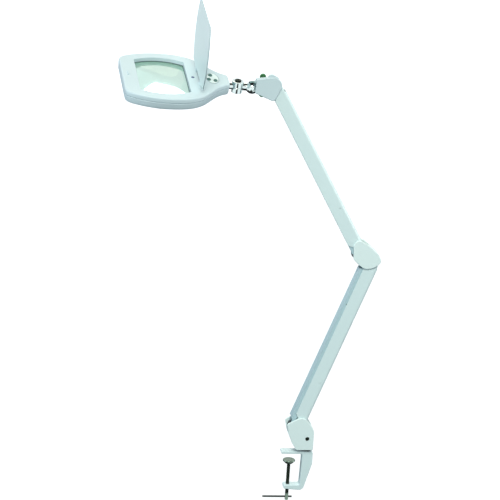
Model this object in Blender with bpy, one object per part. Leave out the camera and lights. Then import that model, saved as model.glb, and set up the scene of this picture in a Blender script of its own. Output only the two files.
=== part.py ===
"""Magnifying lamp with a bench clamp, two spring-balanced channel arms and a lidded lens head."""
import math

import bmesh
import bpy
from mathutils import Matrix, Vector

MM = 0.001

# Fits, and how far a hole is cut past the piece it goes through
GAP = 0.3 * MM
THROUGH = 60.0 * MM
PIN_D = 4.0 * MM
PIN_SIDES = 12
ROD_SIDES = 20

# Clamp
JAW_TIP_X = -24.0 * MM
JAW_T = 6.0 * MM
SPINE_IN_X = 24.5 * MM
SPINE_OUT_X = 48.0 * MM
CLAMP_HALF_W = 11.0 * MM
MOUTH_H = 76.0 * MM
LOW_JAW_TIP_X = -14.0 * MM
LOW_JAW_T = 9.0 * MM
SPINE_DRAFT = 2.0 * MM
SPINE_SHOULDER_Z = -24.0 * MM
HEEL_DROP = 3.0 * MM
HEEL_STEP = (7.0 * MM, 5.0 * MM)
CLAMP_ROUND = 1.2 * MM
SCREW_X = -4.0 * MM
SCREW_D = 8.0 * MM
SCREW_END_Z = -116.0 * MM
PAD_D = 28.0 * MM
PAD_TOP_Z = -17.0 * MM
PAD_H = 9.0 * MM
PAD_CHAMFER = 1.0 * MM
PAD_RIM = 3.0 * MM
PAD_HUB_R = 8.0 * MM
TIP_D = 6.0 * MM
TIP_BORE = 5.0 * MM
BAR_D = 4.0 * MM
BAR_L = 68.0 * MM
BAR_SHIFT = -22.0 * MM
BAR_Z = -108.0 * MM
BAR_ROUND = 0.6 * MM

# Swivel post
POST_X = 34.0 * MM
POST_D = 10.0 * MM
BUSH_D = 14.0 * MM
BUSH_DEPTH = 36.0 * MM
BUSH_FLOOR = 2.0 * MM
FLANGE_D = 21.0 * MM
FLANGE_T = 6.0 * MM
BELLY_HALF_W = 13.2 * MM

# Arms, in the plane y = 0
ARM_L = 415.0 * MM
LOWER_LEAN = math.radians(20.4)
UPPER_LEAN = math.radians(-29.9)
LOWER_PIVOT = (11.5 * MM, 71.0 * MM)
LOWER_PAIR = (-17.0 * MM, -3.0 * MM)
ELBOW_STEP = (-35.5 * MM, 23.3 * MM)
UPPER_PAIR = (-9.0 * MM, -11.5 * MM)

# Channel section, x across the arm with the closed side at +x
CH_OPEN_X = -17.5 * MM
CH_BACK_X = 13.5 * MM
CH_HALF_W = 15.0 * MM
CH_T = 1.2 * MM
CH_CORNER_R = 7.0 * MM
LUG_R = 10.0 * MM
WEB_START = 15.0 * MM
NOTCH_END = 23.0 * MM
NOTCH_RISE = 7.0 * MM
BACK_TRIM = 3.0 * MM

# Link section
LINK_HALF_W = 12.5 * MM
LINK_T = 1.2 * MM
LOWER_LINK_X = (-9.1 * MM, 3.2 * MM)
UPPER_LINK_X = (-4.0 * MM, 4.2 * MM)
LINK_WEB_START = 20.0 * MM
LINK_END = 8.0 * MM
LINK_TRIM = 4.0 * MM
LOWER_LUG_X = -5.0 * MM
UPPER_LUG_X = -4.0 * MM

# Springs
SPRING_R = 4.4 * MM
WIRE_R = 0.7 * MM
SPRING_TURNS = 12
POINTS_PER_TURN = 8
SPRING_Z = (110.0 * MM, 300.0 * MM)
SPRING_PIN_X = 3.0 * MM
SPRING_PIN_D = 3.0 * MM
SPRING_PIN_SHIFT = 0.8 * MM
HOOK_R = SPRING_PIN_D / 2 + WIRE_R + GAP
HOOK_LEAD = 12.0 * MM
HOOK_POINTS = 11
HOOK_STEP = math.radians(24)

# Knuckle blocks and their cheek covers
BLOCK_HALF_W = 10.8 * MM
COVER_IN = 15.5 * MM
COVER_T = 3.6 * MM
COVER_SCREW_D = 4.0 * MM
COVER_SCREW_HEAD_D = 9.0 * MM
COVER_SCREW_HEAD_T = 2.0 * MM
COVER_SCREW_INNER = 2.0 * MM
DRIVE_SLOT_W = 1.2 * MM
DRIVE_SLOT_L = 6.0 * MM
DRIVE_SLOT_DEEP = 0.9 * MM
COVER_ROUND = 1.6 * MM
COVER_BOSS_R = COVER_SCREW_D / 2 + 2.5 * MM
PIN_END = 0.4 * MM

# Wing screw that locks the neck
WING_D = 6.0 * MM
WING_HUB_R = 5.5 * MM
WING_HUB = (1.0 * MM, 10.0 * MM)
WING_WEB = (4.0 * MM, 8.0 * MM)
WING_LOBE_R = 7.0 * MM
WING_LOBE_OUT = 19.0 * MM
WING_ROOT = (3.0 * MM, 2.0 * MM)

# Chrome neck
BALL_OFFSET = (-53.7 * MM, -3.0 * MM)
BALL_R = 14.0 * MM
TONGUE_T = 7.0 * MM
TONGUE_R = 7.5 * MM
TONGUE_REACH = 16.2 * MM
STEM_D = 12.0 * MM
STEM_L = 40.0 * MM
BARREL_STEP = 32.0 * MM
BARREL_R = 12.5 * MM
BARREL_HALF_H = 13.0 * MM
SHANK_R = 8.0 * MM
STUB_R = 7.0 * MM
STUB_L = 44.0 * MM
BALL_PIN_END = 1.5 * MM
BOLT_HEAD_R = 7.0 * MM
BOLT_HEAD_T = 2.0 * MM
HEAD_ROLL = math.radians(15.0)
HEAD_TILT = math.radians(3.0)
HEAD_SWING = math.radians(2.6)

# Head, in its own frame: barrel at the origin, long axis toward -x
HEAD_TOP = 15.0 * MM
HEAD_SPLIT = 4.0 * MM
HEAD_BOTTOM = -12.4 * MM
WALL = 2.5 * MM
WIN_NEAR_X = -111.0 * MM
WIN_HALF_X = 54.0 * MM
WIN_HALF_Y = 70.0 * MM
WIN_BOW = 15.0 * MM
WIN_X = WIN_NEAR_X - WIN_HALF_X
WIN_FAR_X = WIN_X - WIN_HALF_X
# Head outline: the neck side as (x, y), then beside the window as (share of its length, width past it),
# then past the window's far edge as (length past it, width past it)
HEAD_NECK = (
    (-20.0 * MM, 22.0 * MM),
    (-30.0 * MM, 26.0 * MM),
    (-42.0 * MM, 35.0 * MM),
    (-54.0 * MM, 48.0 * MM),
)
HEAD_SHOULDER = ((-66.0 * MM, -6.0 * MM), (-80.0 * MM, 12.0 * MM), (-98.0 * MM, 26.0 * MM))
HEAD_SIDE = ((0.083, 34.5 * MM), (0.361, 39.0 * MM), (0.639, 38.0 * MM), (0.898, 32.5 * MM))
HEAD_TIP = ((13.0 * MM, 23.0 * MM), (25.0 * MM, 16.0 * MM), (31.0 * MM, 9.0 * MM), (33.0 * MM, 0.0))
SEAM_LIP = 1.0 * MM
CROWN = ((0.4 * MM, 4.0 * MM), (1.4 * MM, 1.3 * MM), (4.0 * MM, 0.0))
HULL = ((7.0 * MM, 0.0), (2.6 * MM, 2.0 * MM), (1.2 * MM, 6.0 * MM))
LENS_LAP = 3.0 * MM
LENS_EDGE = (1.0 * MM, 5.0 * MM)
LENS_RISE = 5.0 * MM
LENS_SEAT = 0.9 * MM
LENS_RINGS = 4
LIGHT_W = 15.0 * MM
SHELL_SCREW_D = 3.0 * MM
SHELL_SCREW_HEAD_D = 6.0 * MM
SHELL_SCREW_HEAD_T = 2.0 * MM
SHELL_POST_R = 3.6 * MM
SHELL_POST_X = (WIN_FAR_X - 24.5 * MM, WIN_NEAR_X + 27.0 * MM)
SHELL_POST_Y = WIN_HALF_Y - 8.0 * MM
STUB_WALL = (-30.0 * MM, -22.0 * MM)
STUB_WALL_HALF_W = 16.0 * MM
BOARD_T = 1.6 * MM
LED_BOARD_Z = -2.8 * MM
LED_H = 1.0 * MM
DRIVER_X = (-76.0 * MM, -46.0 * MM)
DRIVER_HALF_Y = 24.0 * MM
DRIVER_POST_R = 2.5 * MM
DRIVER_POST_Y = 21.0 * MM
SWITCH_HALF = 3.0 * MM
HINGE_X = -86.0 * MM
HINGE_H = 4.2 * MM
HINGE_PIN_D = 3.0 * MM
HINGE_LUG_Y = (24.0 * MM, 31.5 * MM)
HINGE_KNUCKLE_END = 50.0 * MM
CATCH_X = WIN_FAR_X - 21.5 * MM
CATCH_W = 4.5 * MM
CATCH_H = 3.0 * MM
CATCH_HALF_Y = 7.0 * MM
BUMPER_R = 3.5 * MM
BUMPER_X = WIN_NEAR_X + 12.0 * MM
SEAT_DEEP = 1.2 * MM
PROUD = 0.4 * MM
LID_START = -4.5 * MM
LID_CLEAR = 0.8 * MM
LID_L = 144.0 * MM
LID_HALF_Y = WIN_HALF_Y + 6.0 * MM
LID_BOW = 17.0 * MM
LID_T = 2.4 * MM
LID_OPEN = math.radians(89.0)
PAD_X = -56.0 * MM
PAD_RX = 14.0 * MM
PAD_RY = 25.0 * MM
BUTTON_L = 11.0 * MM
BUTTON_PROUD = 1.6 * MM
EDGE_ROUND = 0.8 * MM
BUTTON_RX = 4.2 * MM
BUTTON_RY = 5.6 * MM
BUTTON_AT = ((-3.5 * MM, 14.0 * MM), (-9.0 * MM, -6.0 * MM), (5.0 * MM, -10.0 * MM))
SWITCH_TOP = 4.3 * MM
LED_SIZE = 5.0 * MM
BUTTON_NAMES = ("button_power", "button_brighter", "button_dimmer")

for old in list(bpy.data.objects):
    bpy.data.objects.remove(old, do_unlink=True)


def paint(name, rgb, metallic=0.0, rough=0.4, glass=0.0):
    m = bpy.data.materials.new(name)
    m.use_nodes = True
    b = m.node_tree.nodes["Principled BSDF"]
    b.inputs["Base Color"].default_value = (*rgb, 1.0)
    b.inputs["Metallic"].default_value = metallic
    b.inputs["Roughness"].default_value = rough
    b.inputs["Transmission Weight"].default_value = glass
    return m


def new_object(name, bm):
    bmesh.ops.recalc_face_normals(bm, faces=bm.faces)
    me = bpy.data.meshes.new(name)
    bm.to_mesh(me)
    bm.free()
    ob = bpy.data.objects.new(name, me)
    bpy.context.scene.collection.objects.link(ob)
    return ob


def prism(name, points, low, high, axis="Y"):
    """A closed outline of (a, b) pairs raised along an axis: (x, z) along Y, (x, y) along Z or X."""
    bm = bmesh.new()
    place = {
        "Y": lambda p, h: (p[0], h, p[1]),
        "Z": lambda p, h: (p[0], p[1], h),
        "X": lambda p, h: (h, p[0], p[1]),
    }[axis]
    bottom = [bm.verts.new(place(p, low)) for p in points]
    top = [bm.verts.new(place(p, high)) for p in points]
    n = len(points)
    bm.faces.new(bottom)
    bm.faces.new(top)
    for i in range(n):
        bm.faces.new((bottom[i], bottom[(i + 1) % n], top[(i + 1) % n], top[i]))
    return new_object(name, bm)


def loft(name, outline, layers):
    """Stacks copies of an outline along Z. Each layer is (inset, z), from the bottom up."""
    bm = bmesh.new()
    rings = [[bm.verts.new((x, y, z)) for x, y in inset(outline, d)] for d, z in layers]
    n = len(outline)
    bm.faces.new(rings[0])
    bm.faces.new(rings[-1])
    for a, b in zip(rings, rings[1:]):
        for i in range(n):
            bm.faces.new((a[i], a[(i + 1) % n], b[(i + 1) % n], b[i]))
    return new_object(name, bm)


def box(name, low, high):
    corners = ((low[0], low[1]), (high[0], low[1]), (high[0], high[1]), (low[0], high[1]))
    return prism(name, corners, low[2], high[2], "Z")


def circle(radius, n=24, centre=(0.0, 0.0)):
    turn = 2 * math.pi / n
    x, y = centre
    return [(x + radius * math.cos(turn * i), y + radius * math.sin(turn * i)) for i in range(n)]


def arc(centre, radius, start, end, n):
    step = (end - start) / n
    return [
        (centre[0] + radius * math.cos(start + step * i), centre[1] + radius * math.sin(start + step * i))
        for i in range(n + 1)
    ]


def rod(name, radius, low, high, axis="Y", centre=(0.0, 0.0), n=ROD_SIDES):
    return prism(name, circle(radius, n, centre), low, high, axis)


def turned(name, profile, n=24):
    """A body of revolution about Z. The profile is (radius, z) from top to bottom, ending on the axis."""
    bm = bmesh.new()
    rings = []
    for r, z in profile:
        if r == 0:
            rings.append([bm.verts.new((0, 0, z))])
        else:
            rings.append([bm.verts.new((x, y, z)) for x, y in circle(r, n)])
    for a, b in zip(rings, rings[1:]):
        for i in range(n):
            j = (i + 1) % n
            corners = [a[i % len(a)], a[j % len(a)], b[j % len(b)], b[i % len(b)]]
            kept = []
            for v in corners:
                if v not in kept:
                    kept.append(v)
            bm.faces.new(kept)
    return new_object(name, bm)


def combine(ob, other, how):
    mod = ob.modifiers.new(how, "BOOLEAN")
    mod.operation = how
    mod.solver = "EXACT"
    mod.object = other
    settle(ob)
    bpy.data.objects.remove(other, do_unlink=True)
    return ob


def cut(ob, *others):
    for other in others:
        combine(ob, other, "DIFFERENCE")
    return ob


def join(ob, *others):
    for other in others:
        combine(ob, other, "UNION")
    return ob


def round_edges(ob, width, segments=2, limit=50):
    mod = ob.modifiers.new("Bevel", "BEVEL")
    mod.width = width
    mod.segments = segments
    mod.limit_method = "ANGLE"
    mod.angle_limit = math.radians(limit)
    mod.use_clamp_overlap = True
    return ob


def settle(ob):
    """Turns the modifiers on an object into plain geometry, so that later cuts keep sharp rims."""
    graph = bpy.context.evaluated_depsgraph_get()
    me = bpy.data.meshes.new_from_object(ob.evaluated_get(graph))
    ob.modifiers.clear()
    ob.data = me
    return ob


def finish(ob, name, frame, material, smooth=True):
    ob.name = name
    ob.data.name = name
    ob.data.materials.clear()
    ob.data.materials.append(material)
    for face in ob.data.polygons:
        face.material_index = 0
    ob.matrix_world = frame
    if smooth:
        ob.data.shade_smooth()
        ob.data.set_sharp_from_angle(angle=math.radians(35))
    return ob


def inset(points, distance):
    """Moves a counter-clockwise outline inward by a distance, outward if it is negative."""
    out = []
    n = len(points)
    for i in range(n):
        a, b, c = Vector(points[i - 1]), Vector(points[i]), Vector(points[(i + 1) % n])
        e1 = (b - a).normalized()
        e2 = (c - b).normalized()
        n1 = Vector((-e1.y, e1.x))
        n2 = Vector((-e2.y, e2.x))
        mid = n1 + n2
        out.append(tuple(b + mid * (distance / max(0.35, 1 + n1.dot(n2)))))
    return out


def lean(angle):
    return Matrix.Rotation(angle, 4, "Y")


def along(point, angle, length):
    return (point[0] + length * math.sin(angle), point[1] + length * math.cos(angle))


def shifted(point, step):
    return (point[0] + step[0], point[1] + step[1])


def at(point, y=0.0):
    return Matrix.Translation((point[0], y, point[1]))


# Pivots in the plane of the arms
A1 = LOWER_PIVOT
A2 = shifted(A1, LOWER_PAIR)
B1 = along(A1, LOWER_LEAN, ARM_L)
B2 = shifted(B1, LOWER_PAIR)
C1 = shifted(B1, ELBOW_STEP)
C2 = shifted(C1, UPPER_PAIR)
D1 = along(C1, UPPER_LEAN, ARM_L)
D2 = shifted(D1, UPPER_PAIR)
BALL = shifted(D1, BALL_OFFSET)

# Frames of the bodies at rest
F_SCREW = Matrix.Translation((SCREW_X, 0, PAD_TOP_Z))
F_BASE = Matrix.Translation((POST_X, 0, 0))
F_LOWER = at(A1) @ lean(LOWER_LEAN)
F_LOWER_LINK = at(A2) @ lean(LOWER_LEAN)
F_ELBOW = at(B1)
F_UPPER = at(C1) @ lean(UPPER_LEAN)
F_UPPER_LINK = at(C2) @ lean(UPPER_LEAN)
F_BRACKET = at(D1)
F_STEM = at(BALL) @ Matrix.Rotation(HEAD_ROLL, 4, "X")
F_KNUCKLE = F_STEM @ lean(HEAD_TILT)
F_HEAD = F_KNUCKLE @ Matrix.Translation((-BARREL_STEP, 0, 0)) @ Matrix.Rotation(HEAD_SWING, 4, "Z")
F_LID = F_HEAD @ Matrix.Translation((HINGE_X, 0, HEAD_TOP + HINGE_H)) @ lean(LID_OPEN)

WHITE = paint("white_powder_coat", (0.80, 0.84, 0.85), 0.0, 0.42)
ABS = paint("white_abs", (0.84, 0.88, 0.88), 0.0, 0.35)
CHROME = paint("chrome", (0.75, 0.77, 0.78), 1.0, 0.08)
STEEL = paint("zinc_steel", (0.42, 0.45, 0.42), 1.0, 0.35)
DARK_STEEL = paint("blackened_steel", (0.06, 0.07, 0.06), 1.0, 0.4)
NYLON = paint("nylon", (0.55, 0.58, 0.58), 0.0, 0.5)
ZINC = paint("die_cast", (0.50, 0.52, 0.53), 0.9, 0.45)
GLASS = paint("lens_glass", (0.86, 0.95, 0.91), 0.0, 0.03, 0.9)
DIFFUSER = paint("diffuser", (0.90, 0.92, 0.90), 0.0, 0.5, 0.3)
BOARD = paint("circuit_board", (0.80, 0.82, 0.80), 0.0, 0.5)
RUBBER = paint("button_rubber", (0.05, 0.16, 0.14), 0.0, 0.6)
GREY = paint("grey_insert", (0.60, 0.66, 0.67), 0.0, 0.5)
GASKET = paint("gasket", (0.10, 0.18, 0.19), 0.0, 0.7)


def make_clamp():
    heel = -MOUTH_H - LOW_JAW_T - HEEL_DROP
    outline = [
        (JAW_TIP_X, 0),
        (SPINE_IN_X, 0),
        (SPINE_IN_X - SPINE_DRAFT, -MOUTH_H),
        (LOW_JAW_TIP_X, -MOUTH_H),
        (LOW_JAW_TIP_X, -MOUTH_H - LOW_JAW_T),
        (SPINE_IN_X, heel),
        (SPINE_IN_X + HEEL_STEP[0], heel + HEEL_STEP[1]),
        (SPINE_OUT_X, SPINE_SHOULDER_Z),
        (SPINE_OUT_X, JAW_T),
        (JAW_TIP_X, JAW_T),
    ]
    body = settle(round_edges(prism("clamp", outline, -CLAMP_HALF_W, CLAMP_HALF_W), CLAMP_ROUND))
    cut(body, rod("c1", BUSH_D / 2 + GAP, -BUSH_DEPTH - GAP, 2 * JAW_T, "Z", (POST_X, 0)))
    cut(body, rod("c2", SCREW_D / 2 + GAP, -2 * MOUTH_H, -MOUTH_H / 2, "Z", (SCREW_X, 0)))
    finish(body, "clamp_frame", Matrix.Identity(4), WHITE)
    bush = rod("bush", BUSH_D / 2, -BUSH_DEPTH, JAW_T, "Z")
    cut(bush, rod("c", POST_D / 2 + GAP, -BUSH_DEPTH + BUSH_FLOOR, 2 * JAW_T, "Z"))
    finish(bush, "post_bush", F_BASE, NYLON)


def make_clamp_screw():
    rim = PAD_D / 2
    profile = [(0, 0), (rim - PAD_CHAMFER, 0), (rim, -PAD_CHAMFER), (rim, -PAD_RIM)]
    profile += [(PAD_HUB_R, -PAD_H), (0, -PAD_H)]
    pad = turned("pad", profile)
    cut(pad, rod("c", TIP_D / 2 + GAP, -2 * PAD_H, -PAD_H + TIP_BORE, "Z"))
    finish(pad, "screw_pad", F_SCREW, STEEL)
    end = SCREW_END_Z - PAD_TOP_Z
    start = -PAD_H + TIP_BORE - GAP
    profile = [(0, start), (TIP_D / 2, start), (TIP_D / 2, -PAD_H - GAP)]
    profile += [(SCREW_D / 2, -PAD_H - 2 * PAD_CHAMFER), (SCREW_D / 2, end + PAD_CHAMFER)]
    profile += [(SCREW_D / 2 - PAD_CHAMFER, end), (0, end)]
    screw = turned("screw", profile, ROD_SIDES)
    bar_z = BAR_Z - PAD_TOP_Z
    cut(screw, rod("c", BAR_D / 2 + GAP, -SCREW_D, SCREW_D, "X", (0, bar_z), 16))
    finish(screw, "clamp_screw", F_SCREW, DARK_STEEL)
    bar = rod("bar", BAR_D / 2, -BAR_L / 2, BAR_L / 2, "X", (0, 0), 16)
    finish(bar, "t_bar", Matrix.Translation((SCREW_X + BAR_SHIFT, 0, BAR_Z)), DARK_STEEL)
    round_edges(bar, BAR_ROUND, 1, 60)


def pin(name, point, half, frame_point, body_frame):
    where = (point[0] - frame_point[0], point[1] - frame_point[1])
    ob = rod(name, PIN_D / 2, -half, half, "Y", where, PIN_SIDES)
    finish(ob, name, body_frame, STEEL)


def moved(points, origin):
    return [(p[0] - origin[0], p[1] - origin[1]) for p in points]


def block_with_pins(name, outline, origin, pivots, extras=()):
    body = prism(name, outline, -BLOCK_HALF_W, BLOCK_HALF_W)
    for extra in extras:
        join(body, extra)
    for p in pivots:
        where = (p[0] - origin[0], p[1] - origin[1])
        cut(body, rod("c", PIN_D / 2 + GAP, -THROUGH, THROUGH, "Y", where, PIN_SIDES))
    return body


def cover(name, outline, frame, side, where, headed, rim=None, hole=None):
    """A cheek shell with a boss that reaches in to the block at its screw, and a rim along an edge."""
    low, high = sorted((side * COVER_IN, side * (COVER_IN + COVER_T)))
    shell = settle(round_edges(prism(name, outline, low, high), COVER_ROUND, 1, 60))
    low, high = sorted((side * (BLOCK_HALF_W + GAP), side * (COVER_IN + COVER_T / 2)))
    join(shell, rod("boss", COVER_BOSS_R, low, high, "Y", where, 16))
    if rim:
        low, high = sorted((side * GAP / 2, side * (COVER_IN + COVER_T / 2)))
        join(shell, prism("rim", rim, low, high))
    if headed:
        cut(shell, rod("c", COVER_SCREW_D / 2 + GAP, -THROUGH, THROUGH, "Y", where, 16))
        low, high = sorted((side * (COVER_IN + COVER_T - COVER_SCREW_HEAD_T), side * THROUGH))
        cut(shell, rod("c", COVER_SCREW_HEAD_D / 2 + GAP, low, high, "Y", where, 16))
    if hole:
        cut(shell, rod("c", hole[1], -THROUGH, THROUGH, "Y", hole[0], 16))
    return finish(shell, name, frame, ABS)


def cover_screw(name, frame, side, where):
    head_in = COVER_IN + COVER_T - COVER_SCREW_HEAD_T + GAP
    low, high = sorted((side * head_in, side * (COVER_IN + COVER_T)))
    ob = rod(name, COVER_SCREW_HEAD_D / 2, low, high, "Y", where, 24)
    low, high = sorted((side * COVER_SCREW_INNER, side * (head_in + GAP)))
    join(ob, rod("shaft", COVER_SCREW_D / 2, low, high, "Y", where, 16))
    face = side * (COVER_IN + COVER_T)
    for across, up in ((DRIVE_SLOT_L, DRIVE_SLOT_W), (DRIVE_SLOT_W, DRIVE_SLOT_L)):
        low = (where[0] - across / 2, face - DRIVE_SLOT_DEEP, where[1] - up / 2)
        high = (where[0] + across / 2, face + DRIVE_SLOT_DEEP, where[1] + up / 2)
        cut(ob, box("slot", low, high))
    finish(ob, name, frame, DARK_STEEL)


def screw_hole(body, side, where):
    low, high = sorted((side * (COVER_SCREW_INNER - GAP), side * THROUGH))
    cut(body, rod("c", COVER_SCREW_D / 2 + GAP, low, high, "Y", where, 16))


# Knuckle outlines as (x, z) from the body's own frame: the post for the base, a pivot for the others
BASE_OUTLINE = [
    (-25.8 * MM, 12.3 * MM),
    (12.0 * MM, 12.3 * MM),
    (12.5 * MM, 57.0 * MM),
    (7.5 * MM, 68.0 * MM),
    (-5.0 * MM, 83.5 * MM),
    (-10.5 * MM, 88.2 * MM),
    (-16.5 * MM, 89.6 * MM),
    (-26.6 * MM, 88.0 * MM),
    (-49.0 * MM, 75.5 * MM),
    (-50.2 * MM, 72.0 * MM),
    (-46.0 * MM, 52.0 * MM),
    (-37.3 * MM, 30.5 * MM),
]
BASE_BLOCK = [
    (-20.0 * MM, 10.4 * MM),
    (10.0 * MM, 10.4 * MM),
    (10.0 * MM, 44.0 * MM),
    (2.0 * MM, 52.0 * MM),
    (-14.0 * MM, 72.0 * MM),
    (-17.0 * MM, 77.5 * MM),
    (-24.0 * MM, 79.0 * MM),
    (-38.0 * MM, 74.0 * MM),
    (-43.0 * MM, 73.0 * MM),
    (-46.0 * MM, 67.0 * MM),
    (-42.5 * MM, 58.0 * MM),
    (-30.0 * MM, 32.0 * MM),
]
BASE_BELLY = [
    (-18.0 * MM, 12.6 * MM),
    (10.0 * MM, 12.6 * MM),
    (10.0 * MM, 44.0 * MM),
    (2.0 * MM, 50.0 * MM),
    (-28.0 * MM, 36.0 * MM),
]
BASE_SCREW = (-2.5 * MM, 40.0 * MM)
BASE_FAR_SCREW = (-12.0 * MM, 30.0 * MM)


def make_base():
    origin = (POST_X, 0)
    post = rod("post", POST_D / 2, -BUSH_DEPTH + BUSH_FLOOR + GAP, JAW_T + FLANGE_T, "Z")
    flange = rod("flange", FLANGE_D / 2, JAW_T + GAP, JAW_T + GAP + FLANGE_T, "Z", (0, 0), 24)
    belly = prism("belly", BASE_BELLY, -BELLY_HALF_W, BELLY_HALF_W)
    body = block_with_pins("base", BASE_BLOCK, origin, (A1, A2), (flange, post, belly))
    for side, where in ((-1, BASE_SCREW), (1, BASE_FAR_SCREW)):
        screw_hole(body, side, where)
        low, high = sorted((side * BLOCK_HALF_W, side * THROUGH))
        cut(body, rod("c", COVER_BOSS_R + GAP, low, high, "Y", where, 16))
    finish(body, "base_post", F_BASE, ZINC)
    cover("base_cover_near", BASE_OUTLINE, F_BASE, -1, BASE_SCREW, True)
    cover("base_cover_far", BASE_OUTLINE, F_BASE, 1, BASE_FAR_SCREW, True)
    cover_screw("base_cover_screw_near", F_BASE, -1, BASE_SCREW)
    cover_screw("base_cover_screw_far", F_BASE, 1, BASE_FAR_SCREW)
    pin("lower_arm_pin", A1, COVER_IN - GAP, origin, F_BASE)
    pin("lower_link_pin", A2, LINK_HALF_W + PIN_END, origin, F_BASE)


def channel(name, frame):
    inner = CH_HALF_W - CH_T
    r_in = CH_CORNER_R - CH_T
    corner = CH_BACK_X - CH_CORNER_R
    side = CH_HALF_W - CH_CORNER_R
    quarter = math.pi / 2
    section = [(CH_OPEN_X, -CH_HALF_W)]
    section += arc((corner, -side), CH_CORNER_R, -quarter, 0, 4)
    section += arc((corner, side), CH_CORNER_R, 0, quarter, 4)
    section += [(CH_OPEN_X, CH_HALF_W), (CH_OPEN_X, inner)]
    section += arc((corner, side), r_in, quarter, 0, 4)
    section += arc((corner, -side), r_in, 0, -quarter, 4)
    section += [(CH_OPEN_X, -inner)]
    body = prism(name, section, -2 * LUG_R, ARM_L + 2 * LUG_R, "Z")
    half = [(CH_OPEN_X - CH_T, NOTCH_END), (CH_OPEN_X, NOTCH_END), (-LUG_R, NOTCH_END - NOTCH_RISE)]
    low = half + arc((0, 0), LUG_R, -math.pi, 0, 10) + [(CH_BACK_X + CH_T, WEB_START - BACK_TRIM)]
    high = [(x, ARM_L - z) for x, z in reversed(low)]
    profile = low + high
    combine(body, prism("side", profile, -THROUGH, THROUGH), "INTERSECT")
    for z in (0, ARM_L):
        cut(body, box("c", (-THROUGH, -inner, z - WEB_START), (THROUGH, inner, z + WEB_START)))
        cut(body, rod("c", PIN_D / 2 + GAP, -THROUGH, THROUGH, "Y", (0, z), PIN_SIDES))
    spring_pin = (SPRING_PIN_X, SPRING_Z[0])
    cut(body, rod("c", SPRING_PIN_D / 2 + GAP, -THROUGH, THROUGH, "Y", spring_pin, PIN_SIDES))
    finish(body, name, frame, WHITE)


def link(name, span, lug_low):
    low_x, high_x = span
    inner = LINK_HALF_W - LINK_T
    section = [
        (low_x, -LINK_HALF_W),
        (high_x, -LINK_HALF_W),
        (high_x, -inner),
        (low_x + LINK_T, -inner),
        (low_x + LINK_T, inner),
        (high_x, inner),
        (high_x, LINK_HALF_W),
        (low_x, LINK_HALF_W),
    ]
    body = prism(name, section, -LINK_END, ARM_L + LINK_END, "Z")
    tip = -high_x - LINK_T
    low = [(low_x - LINK_T, LINK_WEB_START), (lug_low, LINK_WEB_START - LINK_TRIM), (lug_low, 0)]
    low += [(lug_low * 0.6, tip), (high_x * 0.5, tip), (high_x + 0.01 * MM, 0)]
    profile = low + [(x, ARM_L - z) for x, z in reversed(low)]
    combine(body, prism("side", profile, -THROUGH, THROUGH), "INTERSECT")
    for z in (0, ARM_L):
        cut(body, box("c", (-THROUGH, -inner, z - LINK_WEB_START), (THROUGH, inner, z + LINK_WEB_START)))
        cut(body, rod("c", PIN_D / 2 + GAP, -THROUGH, THROUGH, "Y", (0, z), PIN_SIDES))
    return body


def spring(name, frame, start, end):
    """A tension spring between two cross pins, wound from one wire with a hook at each end."""
    axis = Vector((end[0] - start[0], 0, end[1] - start[1]))
    length = axis.length
    axis.normalize()
    across = Vector((axis.z, 0, -axis.x))
    side = Vector((0, 1, 0))
    base = Vector((start[0], 0, start[1]))
    path = []
    for i in range(HOOK_POINTS):
        t = -math.pi / 3 - HOOK_STEP * i
        path.append(base + HOOK_R * (math.cos(t) * across + math.sin(t) * axis))
    wound = length - 2 * HOOK_LEAD
    total = SPRING_TURNS * POINTS_PER_TURN
    for i in range(total + 1):
        t = 2 * math.pi * i / POINTS_PER_TURN
        place = base + axis * (HOOK_LEAD + wound * i / total)
        path.append(place + SPRING_R * (math.cos(t) * across + math.sin(t) * side))
    far = base + axis * length
    for i in range(HOOK_POINTS):
        t = -math.pi + HOOK_STEP * (i - 1)
        path.append(far - HOOK_R * (math.cos(t) * across + math.sin(t) * axis))
    curve = bpy.data.curves.new(name, "CURVE")
    curve.dimensions = "3D"
    curve.bevel_depth = WIRE_R
    curve.bevel_resolution = 0
    curve.use_fill_caps = True
    line = curve.splines.new("POLY")
    line.points.add(len(path) - 1)
    for p, q in zip(line.points, path):
        p.co = (*q, 1)
    ob = bpy.data.objects.new(name, curve)
    bpy.context.scene.collection.objects.link(ob)
    graph = bpy.context.evaluated_depsgraph_get()
    me = bpy.data.meshes.new_from_object(ob.evaluated_get(graph))
    bpy.data.objects.remove(ob, do_unlink=True)
    ob = bpy.data.objects.new(name, me)
    bpy.context.scene.collection.objects.link(ob)
    pitch = wound / SPRING_TURNS
    print(name, "gap between curls in mm:", round((pitch - 2 * WIRE_R) / MM, 2))
    finish(ob, name, frame, STEEL)


def make_arm(label, frame, link_frame, span, lug_low, pair, angle):
    channel(label + "_arm_channel", frame)
    body = link(label + "_link", span, lug_low)
    offset_x = pair[0] * math.cos(angle) - pair[1] * math.sin(angle)
    offset_z = pair[0] * math.sin(angle) + pair[1] * math.cos(angle)
    pin_x = (span[0] + span[1]) / 2 + SPRING_PIN_SHIFT
    pin_z = SPRING_Z[1] - offset_z
    cut(body, rod("c", SPRING_PIN_D / 2 + GAP, -THROUGH, THROUGH, "Y", (pin_x, pin_z), PIN_SIDES))
    finish(body, label + "_link", link_frame, WHITE)
    low = rod("pin", SPRING_PIN_D / 2, -CH_HALF_W, CH_HALF_W, "Y", (SPRING_PIN_X, SPRING_Z[0]), PIN_SIDES)
    finish(low, label + "_spring_pin", frame, STEEL)
    high = rod("pin", SPRING_PIN_D / 2, -LINK_HALF_W, LINK_HALF_W, "Y", (pin_x, pin_z), PIN_SIDES)
    finish(high, label + "_link_spring_pin", link_frame, STEEL)
    end = (offset_x + pin_x, offset_z + pin_z)
    spring(label + "_spring", frame, (SPRING_PIN_X, SPRING_Z[0]), end)


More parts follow.
